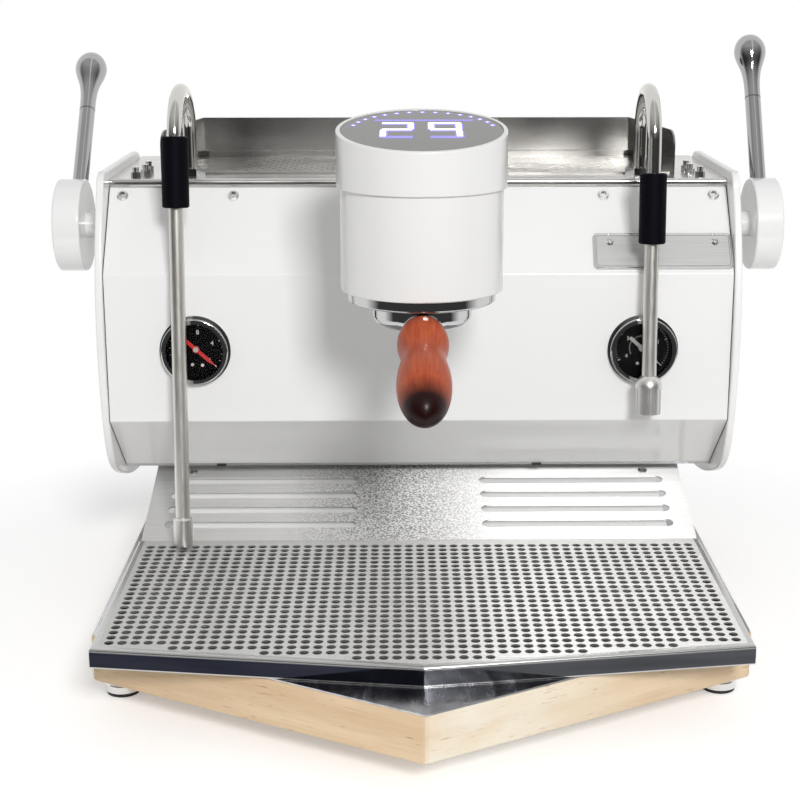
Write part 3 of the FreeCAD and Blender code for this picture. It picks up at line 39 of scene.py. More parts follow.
# Places and sizes that the CAD solids have, in mm in the tray's frame
GROUP_Y = 75.0
DISPLAY_Z = 343.0
DISPLAY_TILT = math.radians(9.2)
GLASS_RECESS = 0.6
FOLD_Y = 220.0
FOLD_HIGH = 216.0
FACET = math.atan2(63.0, 48.0)
PLATE_X = (138.6, 249.5)
PLATE_UP = (3.7, 35.5)
PLATE_THICKNESS = 2.0
GAUGE_X = 178.8
GAUGE_Z = 154.9
DIAL_FACE = -4.0
NEEDLE_TOP = -2.3
NEEDLE_ZERO = -42.0
NEEDLE_SWEEP = 250.0
HANDLE_ROOT = Vector((0.0, 40.0, 213.5))
HANDLE_SLOPE = math.radians(16.0)
SWITCH = Vector((-170.0, 435.0, 90.0))
ROCKER_TILT = math.radians(10.0)
ROCKER_FACE = 5.0
ROCKER_HALF = 11.2
ROCKER_DROP = 1.6
KNOB_Y = 279.0
KNOB_Z = 247.0
LEVERS = {"steam": (-280.3, 38.8), "water": (282.0, 28.5)}      # x, lean in degrees
PANEL_LINE = ((267.2, 278.2), (221.0, 216.5), (221.0, 95.8), (283.2, 42.4))     # y, z
SOCKET_BLADES = ((-119.0, 424.1, 84.0), (-101.0, 437.0, 96.0))

# Where one piece changes its look, in mm in the tray's frame
RIM_SKIRT = (-3.0, -1.2)                # z: the skirt below, the top above
RIM_HEM = (-13.5, -13.2)                # z: the skirt's lower edge
PUMP_HEAD = (323.9, 324.1)              # y: the head before, the motor behind

# Where one piece changes its look, in m in the part's frame
FRONT = (-0.1, -0.06)                   # y: the base's pointed front lies before it
WAND_SATIN = (0.36, 0.366)              # z: satin below, polished above
FOOT_PAD = (0.0029, 0.0031)             # z: rubber below, chrome above
WATER_UNION = (0.09, 0.1)               # x: brass beyond
# the grain is painted darker only round this middle: a painted sparkle of the reflection
GRAIN_X = -0.02                         # x: middle of the steel's sparkling grain
GRAIN_REACH = (0.02, 0.1)               # where the grain begins to fade, and where it ends
# the handle's dark end is partly its own colour and partly painted shade
HANDLE_END = (0.095, 0.111)             # along the handle from its root: where it darkens


def at(x, y, z):
    """A point of the tray's frame, as metres in the part's frame."""
    return (Vector((x, y, z)) + TRAY) * MM


# Camera

CAMERA_PLACE = (-0.01456, -1.19787, 0.51511)
CAMERA_TURN = (75.9713, -0.0054, -0.7898)       # degrees
CAMERA_SHIFT = (-0.0281, -0.0303)
CAMERA_LENS = 71.25
CAMERA_SENSOR = 36.0


def make_camera():
    data = bpy.data.cameras.new("camera")
    data.sensor_width = CAMERA_SENSOR
    data.lens = CAMERA_LENS
    data.shift_x, data.shift_y = CAMERA_SHIFT
    camera = bpy.data.objects.new("camera", data)
    camera.location = CAMERA_PLACE
    camera.rotation_euler = [math.radians(degrees) for degrees in CAMERA_TURN]
    bpy.context.scene.collection.objects.link(camera)
    bpy.context.scene.camera = camera


make_camera()
bpy.context.scene.view_settings.view_transform = "Standard"


# Materials

class Nodes:
    """A material's or the world's node tree, with short calls for the nodes used here."""

    def __init__(self, owner):
        owner.use_nodes = True
        self.tree = owner.node_tree
        self.nodes = self.tree.nodes
        self.place = None

    def new(self, kind, **settings):
        node = self.nodes.new("ShaderNode" + kind)
        for name, value in settings.items():
            setattr(node, name, value)
        return node

    def join(self, source, target):
        self.tree.links.new(source, target)

    def feed(self, socket, value):
        if hasattr(value, "is_linked"):
            self.join(value, socket)
        else:
            socket.default_value = value

    def where(self):
        """Object coordinates, which are metres in the part's frame for every piece."""
        if self.place is None:
            self.place = self.new("TexCoord").outputs["Object"]
        return self.place

    def scaled(self, scale, vector=None, turn=(0.0, 0.0, 0.0)):
        node = self.new("Mapping")
        self.join(vector or self.where(), node.inputs["Vector"])
        node.inputs["Rotation"].default_value = turn
        node.inputs["Scale"].default_value = scale
        return node.outputs[0]

    def noise(self, scale, detail=2.0, vector=None):
        """Noise with so many lumps per metre along X, Y and Z."""
        if not isinstance(scale, tuple):
            scale = (scale, scale, scale)
        node = self.new("TexNoise")
        self.join(self.scaled(scale, vector), node.inputs["Vector"])
        node.inputs["Scale"].default_value = 1.0
        node.inputs["Detail"].default_value = detail
        return node.outputs[0]

    def between(self, value, low, high, out_low=0.0, out_high=1.0):
        node = self.new("MapRange")
        self.join(value, node.inputs[0])
        for socket, number in zip(node.inputs[1:5], (low, high, out_low, out_high)):
            self.feed(socket, number)
        return node.outputs[0]

    def math(self, operation, a, b=0.0, c=0.0):
        node = self.new("Math", operation=operation)
        for socket, value in zip(node.inputs, (a, b, c)):
            self.feed(socket, value)
        return node.outputs[0]

    def times(self, a, b):
        return self.math("MULTIPLY", a, b)

    def part(self, axis):
        node = self.new("SeparateXYZ")
        self.join(self.where(), node.inputs[0])
        return node.outputs["XYZ".index(axis)]

    def mix(self, factor, a, b):
        node = self.new("Mix", data_type="RGBA")
        self.feed(node.inputs[0], factor)
        for socket, colour in ((node.inputs[6], a), (node.inputs[7], b)):
            self.feed(socket, colour if hasattr(colour, "is_linked") else (*colour, 1.0))
        return node.outputs[2]

    def inside(self, low, high):
        """1 within a box of the tray's frame, 0 outside it."""
        product = None
        for axis, a, b in zip("XYZ", at(*low), at(*high)):
            near = self.math("COMPARE", self.part(axis), (a + b) / 2, (b - a) / 2)
            product = near if product is None else self.times(product, near)
        return product

    def front(self):
        """1 on the base's pointed front, 0 behind it."""
        return self.between(self.part("Y"), *FRONT, 1.0, 0.0)


LOOKS = {}                              # the materials made below, by the name of their look


class Finish(Nodes):
    """One Principled material, kept in LOOKS."""

    def __init__(self, name, metallic=0.0, coat=0.0, coat_roughness=0.1, ior=1.45, specular=0.5):
        material = bpy.data.materials.new(name)
        super().__init__(material)
        LOOKS[name] = material
        self.shader = self.nodes["Principled BSDF"]
        self.set("Metallic", metallic)
        self.set("IOR", ior)
        self.set("Specular IOR Level", specular)
        self.set("Coat Weight", coat)
        self.set("Coat Roughness", coat_roughness)

    def set(self, name, value):
        socket = self.shader.inputs[name]
        if isinstance(value, tuple):
            value = (*value, 1.0)
        self.feed(socket, value)

    def bump(self, height, depth_mm):
        node = self.new("Bump")
        node.inputs["Strength"].default_value = 1.0
        node.inputs["Distance"].default_value = depth_mm * MM
        self.join(height, node.inputs["Height"])
        self.join(node.outputs[0], self.shader.inputs["Normal"])

    def stretch(self, amount, across):
        """Spread the gloss to both sides of brush lines, square to which across points."""
        self.shader.inputs["Anisotropic"].default_value = amount
        node = self.new("CombineXYZ")
        for socket, part in zip(node.inputs, across):
            socket.default_value = part
        self.join(node.outputs[0], self.shader.inputs["Tangent"])


def shaded(colour, share):
    return tuple(part * share for part in colour)


def paint(name, colour, roughness, coat):
    """Sprayed or powder-coated surface: a slight cloud in tone and gloss, and orange peel."""
    finish = Finish(name, coat=coat, coat_roughness=0.06)
    finish.set("Base Color", finish.mix(finish.noise(9.0), shaded(colour, 0.98), colour))
    cloud = finish.noise(40.0)
    finish.set("Roughness", finish.between(cloud, 0.3, 0.7, roughness - 0.01, roughness + 0.02))
    finish.bump(finish.noise(650.0), 0.0008)


def brushed(name, colour, roughness, depth_mm=0.002, spread=0.09):
    """Metal with fine lines along X."""
    finish = Finish(name, metallic=1.0)
    streak = finish.noise((14.0, 900.0, 900.0), 3.0)
    tone = finish.between(streak, 0.3, 0.7)
    finish.set("Base Color", finish.mix(tone, shaded(colour, 0.88), colour))
    lines = finish.between(streak, 0.3, 0.7, roughness - spread, roughness + spread)
    cloud = finish.between(finish.noise(14.0), 0.3, 0.7, -0.03, 0.04)
    finish.set("Roughness", finish.math("ADD", lines, cloud))
    finish.bump(streak, depth_mm)


def polished(name, colour, roughness=0.05):
    """Plated or polished metal with faint smudges."""
    finish = Finish(name, metallic=1.0)
    finish.set("Base Color", finish.mix(finish.noise(35.0), shaded(colour, 0.95), colour))
    smudge = finish.noise(55.0, 3.0)
    finish.set("Roughness", finish.between(smudge, 0.35, 0.75, roughness, roughness + 0.06))


def clouded(name, dark, light, roughness):
    """Sheet whose tone changes softly along it: a painted blurred reflection of a room."""
    finish = Finish(name, metallic=1.0)
    cloud = finish.between(finish.noise((14.0, 14.0, 22.0), 1.0), 0.36, 0.64)
    finish.set("Base Color", finish.mix(cloud, dark, light))
    finish.set("Roughness", finish.between(cloud, 0.0, 1.0, roughness, roughness + 0.04))


def moulded(name, colour, roughness, grain_mm, specular=0.5):
    """Plastic, rubber or print with a fine grain."""
    finish = Finish(name, specular=specular)
    finish.set("Base Color", finish.mix(finish.noise(60.0), shaded(colour, 0.8), colour))
    cloud = finish.noise(120.0)
    finish.set("Roughness", finish.between(cloud, 0.3, 0.7, roughness - 0.05, roughness + 0.06))
    finish.bump(finish.noise(1500.0), grain_mm)


def glowing(name, colour, strength):
    finish = Finish(name)
    cloud = finish.noise(90.0)
    finish.set("Base Color", finish.mix(cloud, shaded(colour, 0.9), colour))
    finish.set("Roughness", finish.between(cloud, 0.3, 0.7, 0.3, 0.4))
    finish.set("Emission Color", colour)
    finish.set("Emission Strength", strength)


def pale_wood():
    """Beech or ash: layers along the board, dark pores, and the right face of the pointed front
    painted paler in patches: painted light.
    """
    finish = Finish("pale_wood", ior=1.4)
    tone = finish.between(finish.noise((6.0, 6.0, 60.0), 3.0), 0.3, 0.7)
    colour = finish.mix(tone, (0.66, 0.47, 0.29), (0.79, 0.62, 0.42))
    fibre = finish.noise((30.0, 30.0, 1400.0), 3.0)
    colour = finish.mix(finish.between(fibre, 0.45, 0.75, 0.0, 0.35), colour, (0.55, 0.36, 0.2))
    # painted light: the right face of the pointed front is painted paler, in patches, as where
    # the lamp falls
    painted_light_side = finish.times(finish.between(finish.part("X"), -0.002, 0.004),
                        finish.between(finish.part("X"), 0.05, 0.16, 0.75, 0.12))
    patch = finish.noise((25.0, 25.0, 60.0), 4.0)
    painted_light_side = finish.times(painted_light_side, finish.between(patch, 0.3, 0.6, 0.5))
    colour = finish.mix(finish.times(painted_light_side, finish.front()), colour, (0.83, 0.8, 0.7))
    pore = finish.between(finish.noise((70.0, 70.0, 900.0)), 0.66, 0.76)
    colour = finish.mix(finish.times(pore, 0.75), colour, (0.3, 0.16, 0.07))
    finish.set("Base Color", colour)
    finish.set("Roughness", finish.between(fibre, 0.3, 0.7, 0.5, 0.66))
    finish.bump(finish.math("SUBTRACT", fibre, pore), 0.06)


def handle_wood():
    """Red-brown lacquered grip with its grain along the handle and a darker end, partly the end's
    own dark colour and partly painted shade where it turns down and away from the light.
    """
    finish = Finish("handle_wood", coat=0.08, coat_roughness=0.2, specular=0.15)
    turned = finish.scaled((1.0, 1.0, 1.0), turn=(-HANDLE_SLOPE, 0.0, 0.0))
    grain = finish.noise((420.0, 16.0, 420.0), 4.0, turned)
    tone = finish.between(grain, 0.3, 0.7)
    colour = finish.mix(tone, (0.36, 0.05, 0.014), (0.5, 0.1, 0.034))
    run, fall = -math.cos(HANDLE_SLOPE), -math.sin(HANDLE_SLOPE)
    along = finish.math("ADD", finish.times(finish.part("Y"), run),
                        finish.times(finish.part("Z"), fall))
    root = at(*HANDLE_ROOT)
    start = root.y * run + root.z * fall
    # partly painted shade: the end darkens towards black along the handle
    dark = finish.between(along, start + HANDLE_END[0], start + HANDLE_END[1], 0.0, 0.98)
    colour = finish.mix(dark, colour, (0.005, 0.001, 0.0015))
    pore = finish.noise((1100.0, 70.0, 1100.0), 2.0, turned)
    colour = finish.mix(finish.between(pore, 0.64, 0.72, 0.0, 0.4), colour, (0.06, 0.01, 0.005))
    finish.set("Base Color", colour)
    finish.set("Roughness", finish.between(grain, 0.3, 0.7, 0.3, 0.4))
    finish.bump(grain, 0.006)


def lined_steel(name, colour, roughness, stretch, metallic, grain, grain_mm, painted_sparkle_shade):
    """Sheet brushed along X, whose gloss spreads up and down, with a grain over all of it that is
    painted darker only across a middle band, as a painted sparkle of the reflection there.
    """
    finish = Finish(name, metallic=metallic)
    streak = finish.noise((10.0, 500.0, 500.0), 3.0)
    sparkle = finish.noise(grain)
    colour = finish.mix(finish.between(streak, 0.3, 0.7), shaded(colour, 0.93), colour)
    # painted reflection: the grain's sparkle is painted as dark grains only across the middle
    # band
    aside = finish.math("ABSOLUTE", finish.math("ADD", finish.part("X"), -GRAIN_X))
    middle = finish.between(aside, *GRAIN_REACH, painted_sparkle_shade, 0.0)
    painted_sparkle = finish.times(finish.between(sparkle, 0.56, 0.42), middle)
    finish.set("Base Color", finish.mix(painted_sparkle, colour, (0.25, 0.25, 0.25)))
    finish.set("Roughness", finish.between(streak, 0.3, 0.7, roughness - 0.03, roughness + 0.03))
    finish.stretch(stretch, (0.0, 1.0, 0.0))
    finish.bump(sparkle, grain_mm)


def rim_steel():
    """Folded tray border: satin on top; its glossy skirt painted near black as a reflection of a
    dark room, darker left of the point.
    """
    finish = Finish("rim_steel", metallic=1.0)
    skirt, hem = (finish.between(finish.part("Z"), at(0, 0, low).z, at(0, 0, high).z, 1.0, 0.0)
                  for low, high in (RIM_SKIRT, RIM_HEM))
    # painted reflection: the skirt is painted near black with a blurred room in it, darker on the
    # left face than on the right
    side = finish.between(finish.part("X"), -0.001, 0.001)
    reflection_cloud = finish.between(finish.noise((8.0, 8.0, 90.0)), 0.3, 0.7)
    dark = finish.mix(side, finish.mix(reflection_cloud, (0.012, 0.013, 0.024), (0.03, 0.032, 0.045)),
                      finish.mix(reflection_cloud, (0.05, 0.052, 0.058), (0.08, 0.082, 0.088)))
    streak = finish.noise((12.0, 500.0, 500.0), 3.0)
    top = finish.mix(streak, (0.5, 0.5, 0.49), (0.6, 0.6, 0.59))
    finish.set("Base Color", finish.mix(finish.math("SUBTRACT", skirt, hem), top, dark))
    finish.set("Roughness", finish.between(skirt, 0.0, 1.0, 0.24, 0.1))


def base_steel():
    """Polished sheet on the board, with wiping marks, and the right face of the pointed front
    painted darker as a painted reflection.
    """
    finish = Finish("base_steel", metallic=1.0)
    wipe = finish.noise((160.0, 40.0, 60.0), 4.0)
    tone = finish.between(wipe, 0.35, 0.7)
    colour = finish.mix(tone, (0.44, 0.44, 0.47), (0.66, 0.66, 0.68))
    # painted reflection: the right face of the pointed front is painted darker
    side = finish.times(finish.between(finish.part("X"), -0.002, 0.006, 0.0, 0.9), finish.front())
    finish.set("Base Color", finish.mix(side, colour, (0.19, 0.19, 0.2)))
    finish.set("Roughness", finish.between(wipe, 0.3, 0.7, 0.16, 0.3))


def foot_metal():
    """Chrome foot on a rubber pad."""
    finish = Finish("foot_metal")
    pad = finish.between(finish.part("Z"), *FOOT_PAD, 1.0, 0.0)
    chrome = finish.mix(finish.noise(60.0), (0.72, 0.72, 0.72), (0.78, 0.78, 0.78))
    finish.set("Base Color", finish.mix(pad, chrome, (0.015, 0.015, 0.017)))
    finish.set("Metallic", finish.math("SUBTRACT", 1.0, pad))
    finish.set("Roughness", finish.between(pad, 0.0, 1.0, 0.07, 0.6))


def rear_mix():
    """Black plastic switch and socket, metal blades and union."""
    finish = Finish("rear_mix")
    blades = finish.inside(*SOCKET_BLADES)
    union = finish.between(finish.part("X"), *WATER_UNION)
    metal = finish.math("MAXIMUM", blades, union)
    black = finish.mix(finish.noise(80.0), (0.012, 0.012, 0.013), (0.02, 0.02, 0.022))
    bright = finish.mix(finish.noise(70.0), (0.58, 0.5, 0.34), (0.7, 0.62, 0.42))
    finish.set("Base Color", finish.mix(metal, black, bright))
    finish.set("Metallic", metal)
    finish.set("Roughness", finish.between(metal, 0.0, 1.0, 0.42, 0.24))
    finish.bump(finish.noise(1600.0), 0.01)


def pump_mix():
    """Brass pump head on a dark painted motor."""
    finish = Finish("pump_mix")
    before, behind = (at(0, y, 0).y for y in PUMP_HEAD)
    head = finish.between(finish.part("Y"), before, behind, 1.0, 0.0)
    motor = finish.mix(finish.noise(60.0), (0.05, 0.055, 0.06), (0.075, 0.08, 0.085))
    brass = finish.mix(finish.noise(60.0), (0.6, 0.46, 0.24), (0.72, 0.57, 0.3))
    finish.set("Base Color", finish.mix(head, motor, brass))
    finish.set("Metallic", head)
    finish.set("Roughness", finish.between(finish.noise(90.0), 0.3, 0.7, 0.3, 0.42))


def wand_steel():
    """Tube that is satin below its sleeve and polished over the bend."""
    finish = Finish("wand_steel", metallic=1.0)
    streak = finish.noise((900.0, 900.0, 14.0), 3.0)
    high = finish.between(finish.part("Z"), *WAND_SATIN)
    satin = finish.mix(streak, (0.72, 0.7, 0.655), (0.8, 0.78, 0.73))
    finish.set("Base Color", finish.mix(high, satin, (0.62, 0.61, 0.58)))
    rough = finish.between(streak, 0.3, 0.7, 0.34, 0.42)
    finish.set("Roughness", finish.between(high, 0.0, 1.0, rough, 0.09))


def clear_glass():
    finish = Finish("clear_glass", ior=1.16)
    tint = finish.mix(finish.noise(30.0), (0.97, 0.98, 0.98), (1.0, 1.0, 1.0))
    finish.set("Base Color", tint)
    finish.set("Roughness", 0.0)
    finish.set("Transmission Weight", 1.0)


def display_pane():
    finish = Finish("display_pane", ior=1.5)
    tint = finish.mix(finish.noise(24.0), (0.105, 0.1, 0.096), (0.13, 0.125, 0.12))
    finish.set("Base Color", tint)
    finish.set("Roughness", finish.between(finish.noise(40.0), 0.3, 0.7, 0.04, 0.08))


def make_looks():
    paint("white_coat", (0.88, 0.878, 0.87), 0.3, 0.5)
    # painted shade: the group covers take a darker copy of the white paint
    paint("group_white", (0.78, 0.775, 0.765), 0.3, 0.45)
    paint("knob_white", (0.86, 0.86, 0.855), 0.2, 0.8)
    lined_steel("tray_steel", (0.68, 0.675, 0.66), 0.46, 0.95, 0.8, 500.0, 0.006, 0.2)
    lined_steel("splash_steel", (0.86, 0.855, 0.84), 0.5, 1.0, 0.6, 620.0, 0.02, 0.9)
    # painted shade: the drip tray's pan is painted dark for the shade under the grate
    brushed("pan_steel_painted_shade", (0.16, 0.16, 0.16), 0.34)
    brushed("deck_steel", (0.6, 0.59, 0.57), 0.24, 0.001, 0.05)
    # cup rail and cup floor: steel with a painted blurred reflection
    clouded("rail_steel", (0.24, 0.235, 0.225), (0.5, 0.49, 0.47), 0.2)
    clouded("floor_steel", (0.34, 0.33, 0.315), (0.42, 0.41, 0.39), 0.26)
    brushed("plate_steel", (0.64, 0.64, 0.63), 0.48, 0.001, 0.04)
    brushed("inner_steel", (0.5, 0.5, 0.5), 0.36)
    brushed("boiler_steel", (0.55, 0.55, 0.55), 0.3)
    wand_steel()
    polished("chrome", (0.6, 0.6, 0.6))
    polished("lever_chrome", (0.44, 0.44, 0.44))
    polished("bright_chrome", (0.82, 0.82, 0.82), 0.12)
    polished("satin_chrome", (0.78, 0.77, 0.75), 0.34)
    polished("dark_chrome", (0.2, 0.2, 0.21))
    polished("brass", (0.7, 0.54, 0.28), 0.2)
    polished("copper", (0.72, 0.35, 0.22), 0.22)
    moulded("rubber", (0.003, 0.003, 0.006), 0.5, 0.001, specular=0.06)
    moulded("dial_black", (0.002, 0.002, 0.003), 0.5, 0.001, specular=0.03)
    # painted shade: a flat grey strip for the shade in the name plate's groove
    moulded("groove_grey", (0.1, 0.1, 0.1), 0.5, 0.001)
    moulded("dark_plastic", (0.02, 0.02, 0.022), 0.45, 0.01)
    moulded("red_paint", (0.72, 0.02, 0.012), 0.35, 0.001)
    moulded("silver_paint", (0.62, 0.62, 0.6), 0.35, 0.001)
    moulded("dial_white", (0.8, 0.8, 0.78), 0.5, 0.001)
    glowing("segment_white", (0.93, 0.94, 1.0), 1.0)
    glowing("segment_blue", (0.2, 0.17, 0.72), 0.85)
    pale_wood()
    handle_wood()
    rim_steel()
    base_steel()
    foot_metal()
    rear_mix()
    pump_mix()
    clear_glass()
    display_pane()


NODE_LOOKS = {
    "white_coat": ["plinth", "front_panel", "side_panel_left", "side_panel_right", "rear_panel",
                   "group_neck"],
    "group_white": ["group_cover_lower", "group_cover_upper"],
    "knob_white": ["steam_knob", "water_knob"],
    "tray_steel": ["tray_grate"],
    "pan_steel_painted_shade": ["drip_tray"],
    "deck_steel": ["top_deck"],
    "rail_steel": ["cup_rail"],
    "floor_steel": ["cup_floor"],
    "plate_steel": ["name_plate"],
    "inner_steel": ["floor_panel", "chassis_frame", "shower_screen", "filter_basket"],
    "boiler_steel": ["steam_boiler", "brew_boiler"],
    "wand_steel": ["steam_wand", "water_wand"],
    "chrome": ["group_collar", "portafilter_body", "portafilter_spout", "handle_ferrule",
               "gauge_cases"],
    "lever_chrome": ["steam_lever", "water_lever"],
    "bright_chrome": ["panel_screws", "deck_nuts", "wand_nuts"],
    "satin_chrome": ["steam_tip", "water_nozzle"],
    "brass": ["group_body", "tap_valves"],
    "copper": ["pipes"],
    "rubber": ["steam_sleeve", "water_sleeve", "group_gasket"],
    "dial_black": ["gauge_dials"],
    "dark_plastic": ["control_box", "switch_rocker"],
    "red_paint": ["gauge_needle_left"],
    "silver_paint": ["gauge_needle_right"],
    "pale_wood": ["wood_base"],
    "handle_wood": ["portafilter_handle"],
    "splash_steel": ["splash_panel"],
    "rim_steel": ["tray_rim"],
    "base_steel": ["base_sheet"],
    "foot_metal": ["foot_front_left", "foot_front_right", "foot_rear_left", "foot_rear_right"],
    "rear_mix": ["rear_fittings"],
    "pump_mix": ["pump"],
    "clear_glass": ["gauge_glasses"],
    "display_pane": ["display_glass"],
}


def dress_nodes():
    for look, names in NODE_LOOKS.items():
        for name in names:
            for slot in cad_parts[name].material_slots:
                slot.material = LOOKS[look]


make_looks()
dress_nodes()


# Shapes of the new pieces, drawn on flat places

def add(name, points, faces, look, slot, body="machine"):
    mesh = bpy.data.meshes.new(name)
    mesh.from_pydata([tuple(point) for point in points], [], faces)
    mesh.validate()
    mesh.materials.append(LOOKS[look])
    piece = bpy.data.objects.new(name, mesh)
    bpy.context.scene.collection.objects.link(piece)
    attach(piece, body)


class Plane:
    """A flat place: a point of the tray's frame and its right, up and outward directions."""

    def __init__(self, origin, right, up):
        self.origin = Vector(origin)
        self.right = Vector(right).normalized()
        self.up = Vector(up).normalized()
        self.out = self.right.cross(self.up)

    def point(self, x, y, out):
        return at(*(self.origin + self.right * x + self.up * y + self.out * out))


def prisms(plane, outlines, low, high):
    """Points and faces of closed flat shapes, each given a thickness."""
    points = []
    faces = []
    for outline in outlines:
        start = len(points)
        count = len(outline)
        points += [plane.point(x, y, low) for x, y in outline]
        points += [plane.point(x, y, high) for x, y in outline]
        faces.append(tuple(reversed(range(start, start + count))))
        faces.append(tuple(range(start + count, start + 2 * count)))
        for i in range(count):
            j = (i + 1) % count
            faces.append((start + i, start + j, start + count + j, start + count + i))
    return points, faces


def disc(x, y, radius, sides):
    turns = [2 * math.pi * i / sides for i in range(sides)]
    return [(x + radius * math.cos(turn), y + radius * math.sin(turn)) for turn in turns]


def bar(x0, y0, x1, y1, width):
    """A straight bar between two points, with square ends."""
    length = math.hypot(x1 - x0, y1 - y0)
    u = (x1 - x0) / length * width / 2
    v = (y1 - y0) / length * width / 2
    return [(x0 + v, y0 - u), (x1 + v, y1 - u), (x1 - v, y1 + u), (x0 - v, y0 + u)]


def spoke(inner, outer, turn, width):
    """A bar that points outwards from the middle."""
    return bar(inner * math.cos(turn), inner * math.sin(turn),
               outer * math.cos(turn), outer * math.sin(turn), width)


def rounded_loop(x0, x1, y0, y1, radius, steps=8):
    loop = []
    for cx, cy, start in ((x1 - radius, y1 - radius, 0), (x0 + radius, y1 - radius, 90),
                          (x0 + radius, y0 + radius, 180), (x1 - radius, y0 + radius, 270)):
        for step in range(steps + 1):
            turn = math.radians(start + 90 * step / steps)
            loop.append((cx + radius * math.cos(turn), cy + radius * math.sin(turn)))
    return loop


def ring_faces(count):
    """Faces between four closed rings of points, the last of which joins the first."""
    faces = []
    for ring in range(4):
        after = (ring + 1) % 4
        for i in range(count):
            j = (i + 1) % count
            faces.append((ring * count + i, ring * count + j,
                          after * count + j, after * count + i))
    return faces


def framed(plane, x0, x1, y0, y1, radius, width, low, high):
    """A raised border with rounded corners, whose sides slope to a flat crest."""
    points = []
    for inset, height in ((0.0, low), (width / 3, high), (width * 0.6, high), (width, low)):
        loop = rounded_loop(x0 + inset, x1 - inset, y0 + inset, y1 - inset, radius - inset)
        points += [plane.point(x, y, height) for x, y in loop]
    return points, ring_faces(len(loop))


# Display: two digits whose lowest bar only glows, each with a blue glow that is also a painted
# reflection of it in the glass, a line over them and an arc of dots

PRINT_LOW = -0.1
GLOW_HIGH = 0.06
WHITE_HIGH = 0.14
DIGITS = (("abged", "abge", -28.5), ("abcdfg", "abcfg", 4.5))      # lit, fully white, left edge
DIGIT_GLOW_AND_REFLECTION = (-21.5, 24.5, 41.5, 5.8)   # low, width, height, stroke
WHITE_DIGIT = (-18.0, 23.0, 39.0, 4.0)
GLOW_LEFT = 0.6
DISPLAY_LINE = (-32.5, 27.0, 36.0, 27.0, 3.0)
DOT_COUNT = 15
DOT_START = 14.5
DOT_SWEEP = 151.0
DOT_MIDDLE = (1.0, 0.5)
DOT_ARC = 49.6
DOT_GLOW = 2.3
DOT_WHITE = 0.9


def digit_outlines(segments, left, low, width, height, stroke):
    right = left + width
    top = low + height
    middle = low + height / 2
    gap = stroke * 0.3
    half = stroke / 2
    spans = {
        "a": (left + gap, top - half, right - gap, top - half),
        "d": (left + gap, low + half, right - gap, low + half),
        "g": (left + gap, middle, right - gap, middle),
        "f": (left + half, middle + gap, left + half, top - gap),
        "b": (right - half, middle + gap, right - half, top - gap),
        "e": (left + half, low + gap, left + half, middle - gap),
        "c": (right - half, low + gap, right - half, middle - gap),
    }
    return [bar(*spans[segment], stroke) for segment in segments]


def display():
    up = Vector((0, math.cos(DISPLAY_TILT), math.sin(DISPLAY_TILT)))
    out = Vector((0, -math.sin(DISPLAY_TILT), math.cos(DISPLAY_TILT)))
    plane = Plane(Vector((0, GROUP_Y, DISPLAY_Z)) - out * GLASS_RECESS, (1, 0, 0), up)

    def show(name, outlines, high, look):
        add(name, *prisms(plane, outlines, PRINT_LOW, high), look, "display")

    glow = []
    white = []
    for lit, full, left in DIGITS:
        glow += digit_outlines(lit, left - GLOW_LEFT, *DIGIT_GLOW_AND_REFLECTION)
        white += digit_outlines(full, left, *WHITE_DIGIT)
    # partly painted reflection: the blue digits are the display's glow round the white ones,
    # stretched downward as their reflection in the glass
    show("display_digit_glow_and_reflection", glow, GLOW_HIGH, "segment_blue")
    show("display_digits", white, WHITE_HIGH, "segment_white")
    show("display_line", [bar(*DISPLAY_LINE)], GLOW_HIGH, "segment_blue")
    glow = []
    white = []
    for i in range(DOT_COUNT):
        turn = math.radians(DOT_START + DOT_SWEEP * i / (DOT_COUNT - 1))
        x = DOT_MIDDLE[0] + DOT_ARC * math.cos(turn)
        y = DOT_MIDDLE[1] + DOT_ARC * math.sin(turn)
        glow.append(disc(x, y, DOT_GLOW, 14))
        white.append(disc(x, y, DOT_WHITE, 12))
    show("display_dot_glow", glow, GLOW_HIGH, "segment_blue")
    show("display_dots", white, WHITE_HIGH, "segment_white")


# Gauges: ticks, plain numbers, rivets and a cap on each needle's hub

TICK_OUTER = 21.6
MAIN_TICK = (19.4, 0.7)                 # inner radius, width
FINE_TICK = (20.3, 0.3)
INNER_RING = (9.6, 10.4)
INNER_RING_WIDTH = 0.25
INNER_RING_STEPS = 60
NUMBER_RADIUS = 13.9
NUMBER_DEPTH = 0.16
RIVETS = ((-3.2, -12.6), (4.8, -13.1))
RIVET_RADIUS = 1.3
RIVET_HIGH = 0.3
CAP_RADIUS = 2.1
CAP_SUNK = 0.1
CAP_HIGH = 0.3
MARK_LOW = -0.05
MARK_HIGH = 0.08


def lettering(name, plane, words, size, depth, look, slot):
    """Plain numbers as one mesh: words is a list of (text, x, y)."""
    points = []
    faces = []
    for text, x, y in words:
        curve = bpy.data.curves.new(name, "FONT")
        curve.body = text
        curve.size = size
        curve.extrude = depth / 2
        curve.resolution_u = 3
        curve.align_x = "CENTER"
        curve.align_y = "CENTER"
        source = bpy.data.objects.new(name, curve)
        bpy.context.scene.collection.objects.link(source)
        bpy.context.view_layer.update()
        graph = bpy.context.evaluated_depsgraph_get()
        mesh = bpy.data.meshes.new_from_object(source.evaluated_get(graph))
        start = len(points)
        points += [plane.point(x + v.co.x, y + v.co.y, v.co.z) for v in mesh.vertices]
        faces += [tuple(start + i for i in face.vertices) for face in mesh.polygons]
        bpy.data.meshes.remove(mesh)
        bpy.data.objects.remove(source)
        bpy.data.curves.remove(curve)
    add(name, points, faces, look, slot)


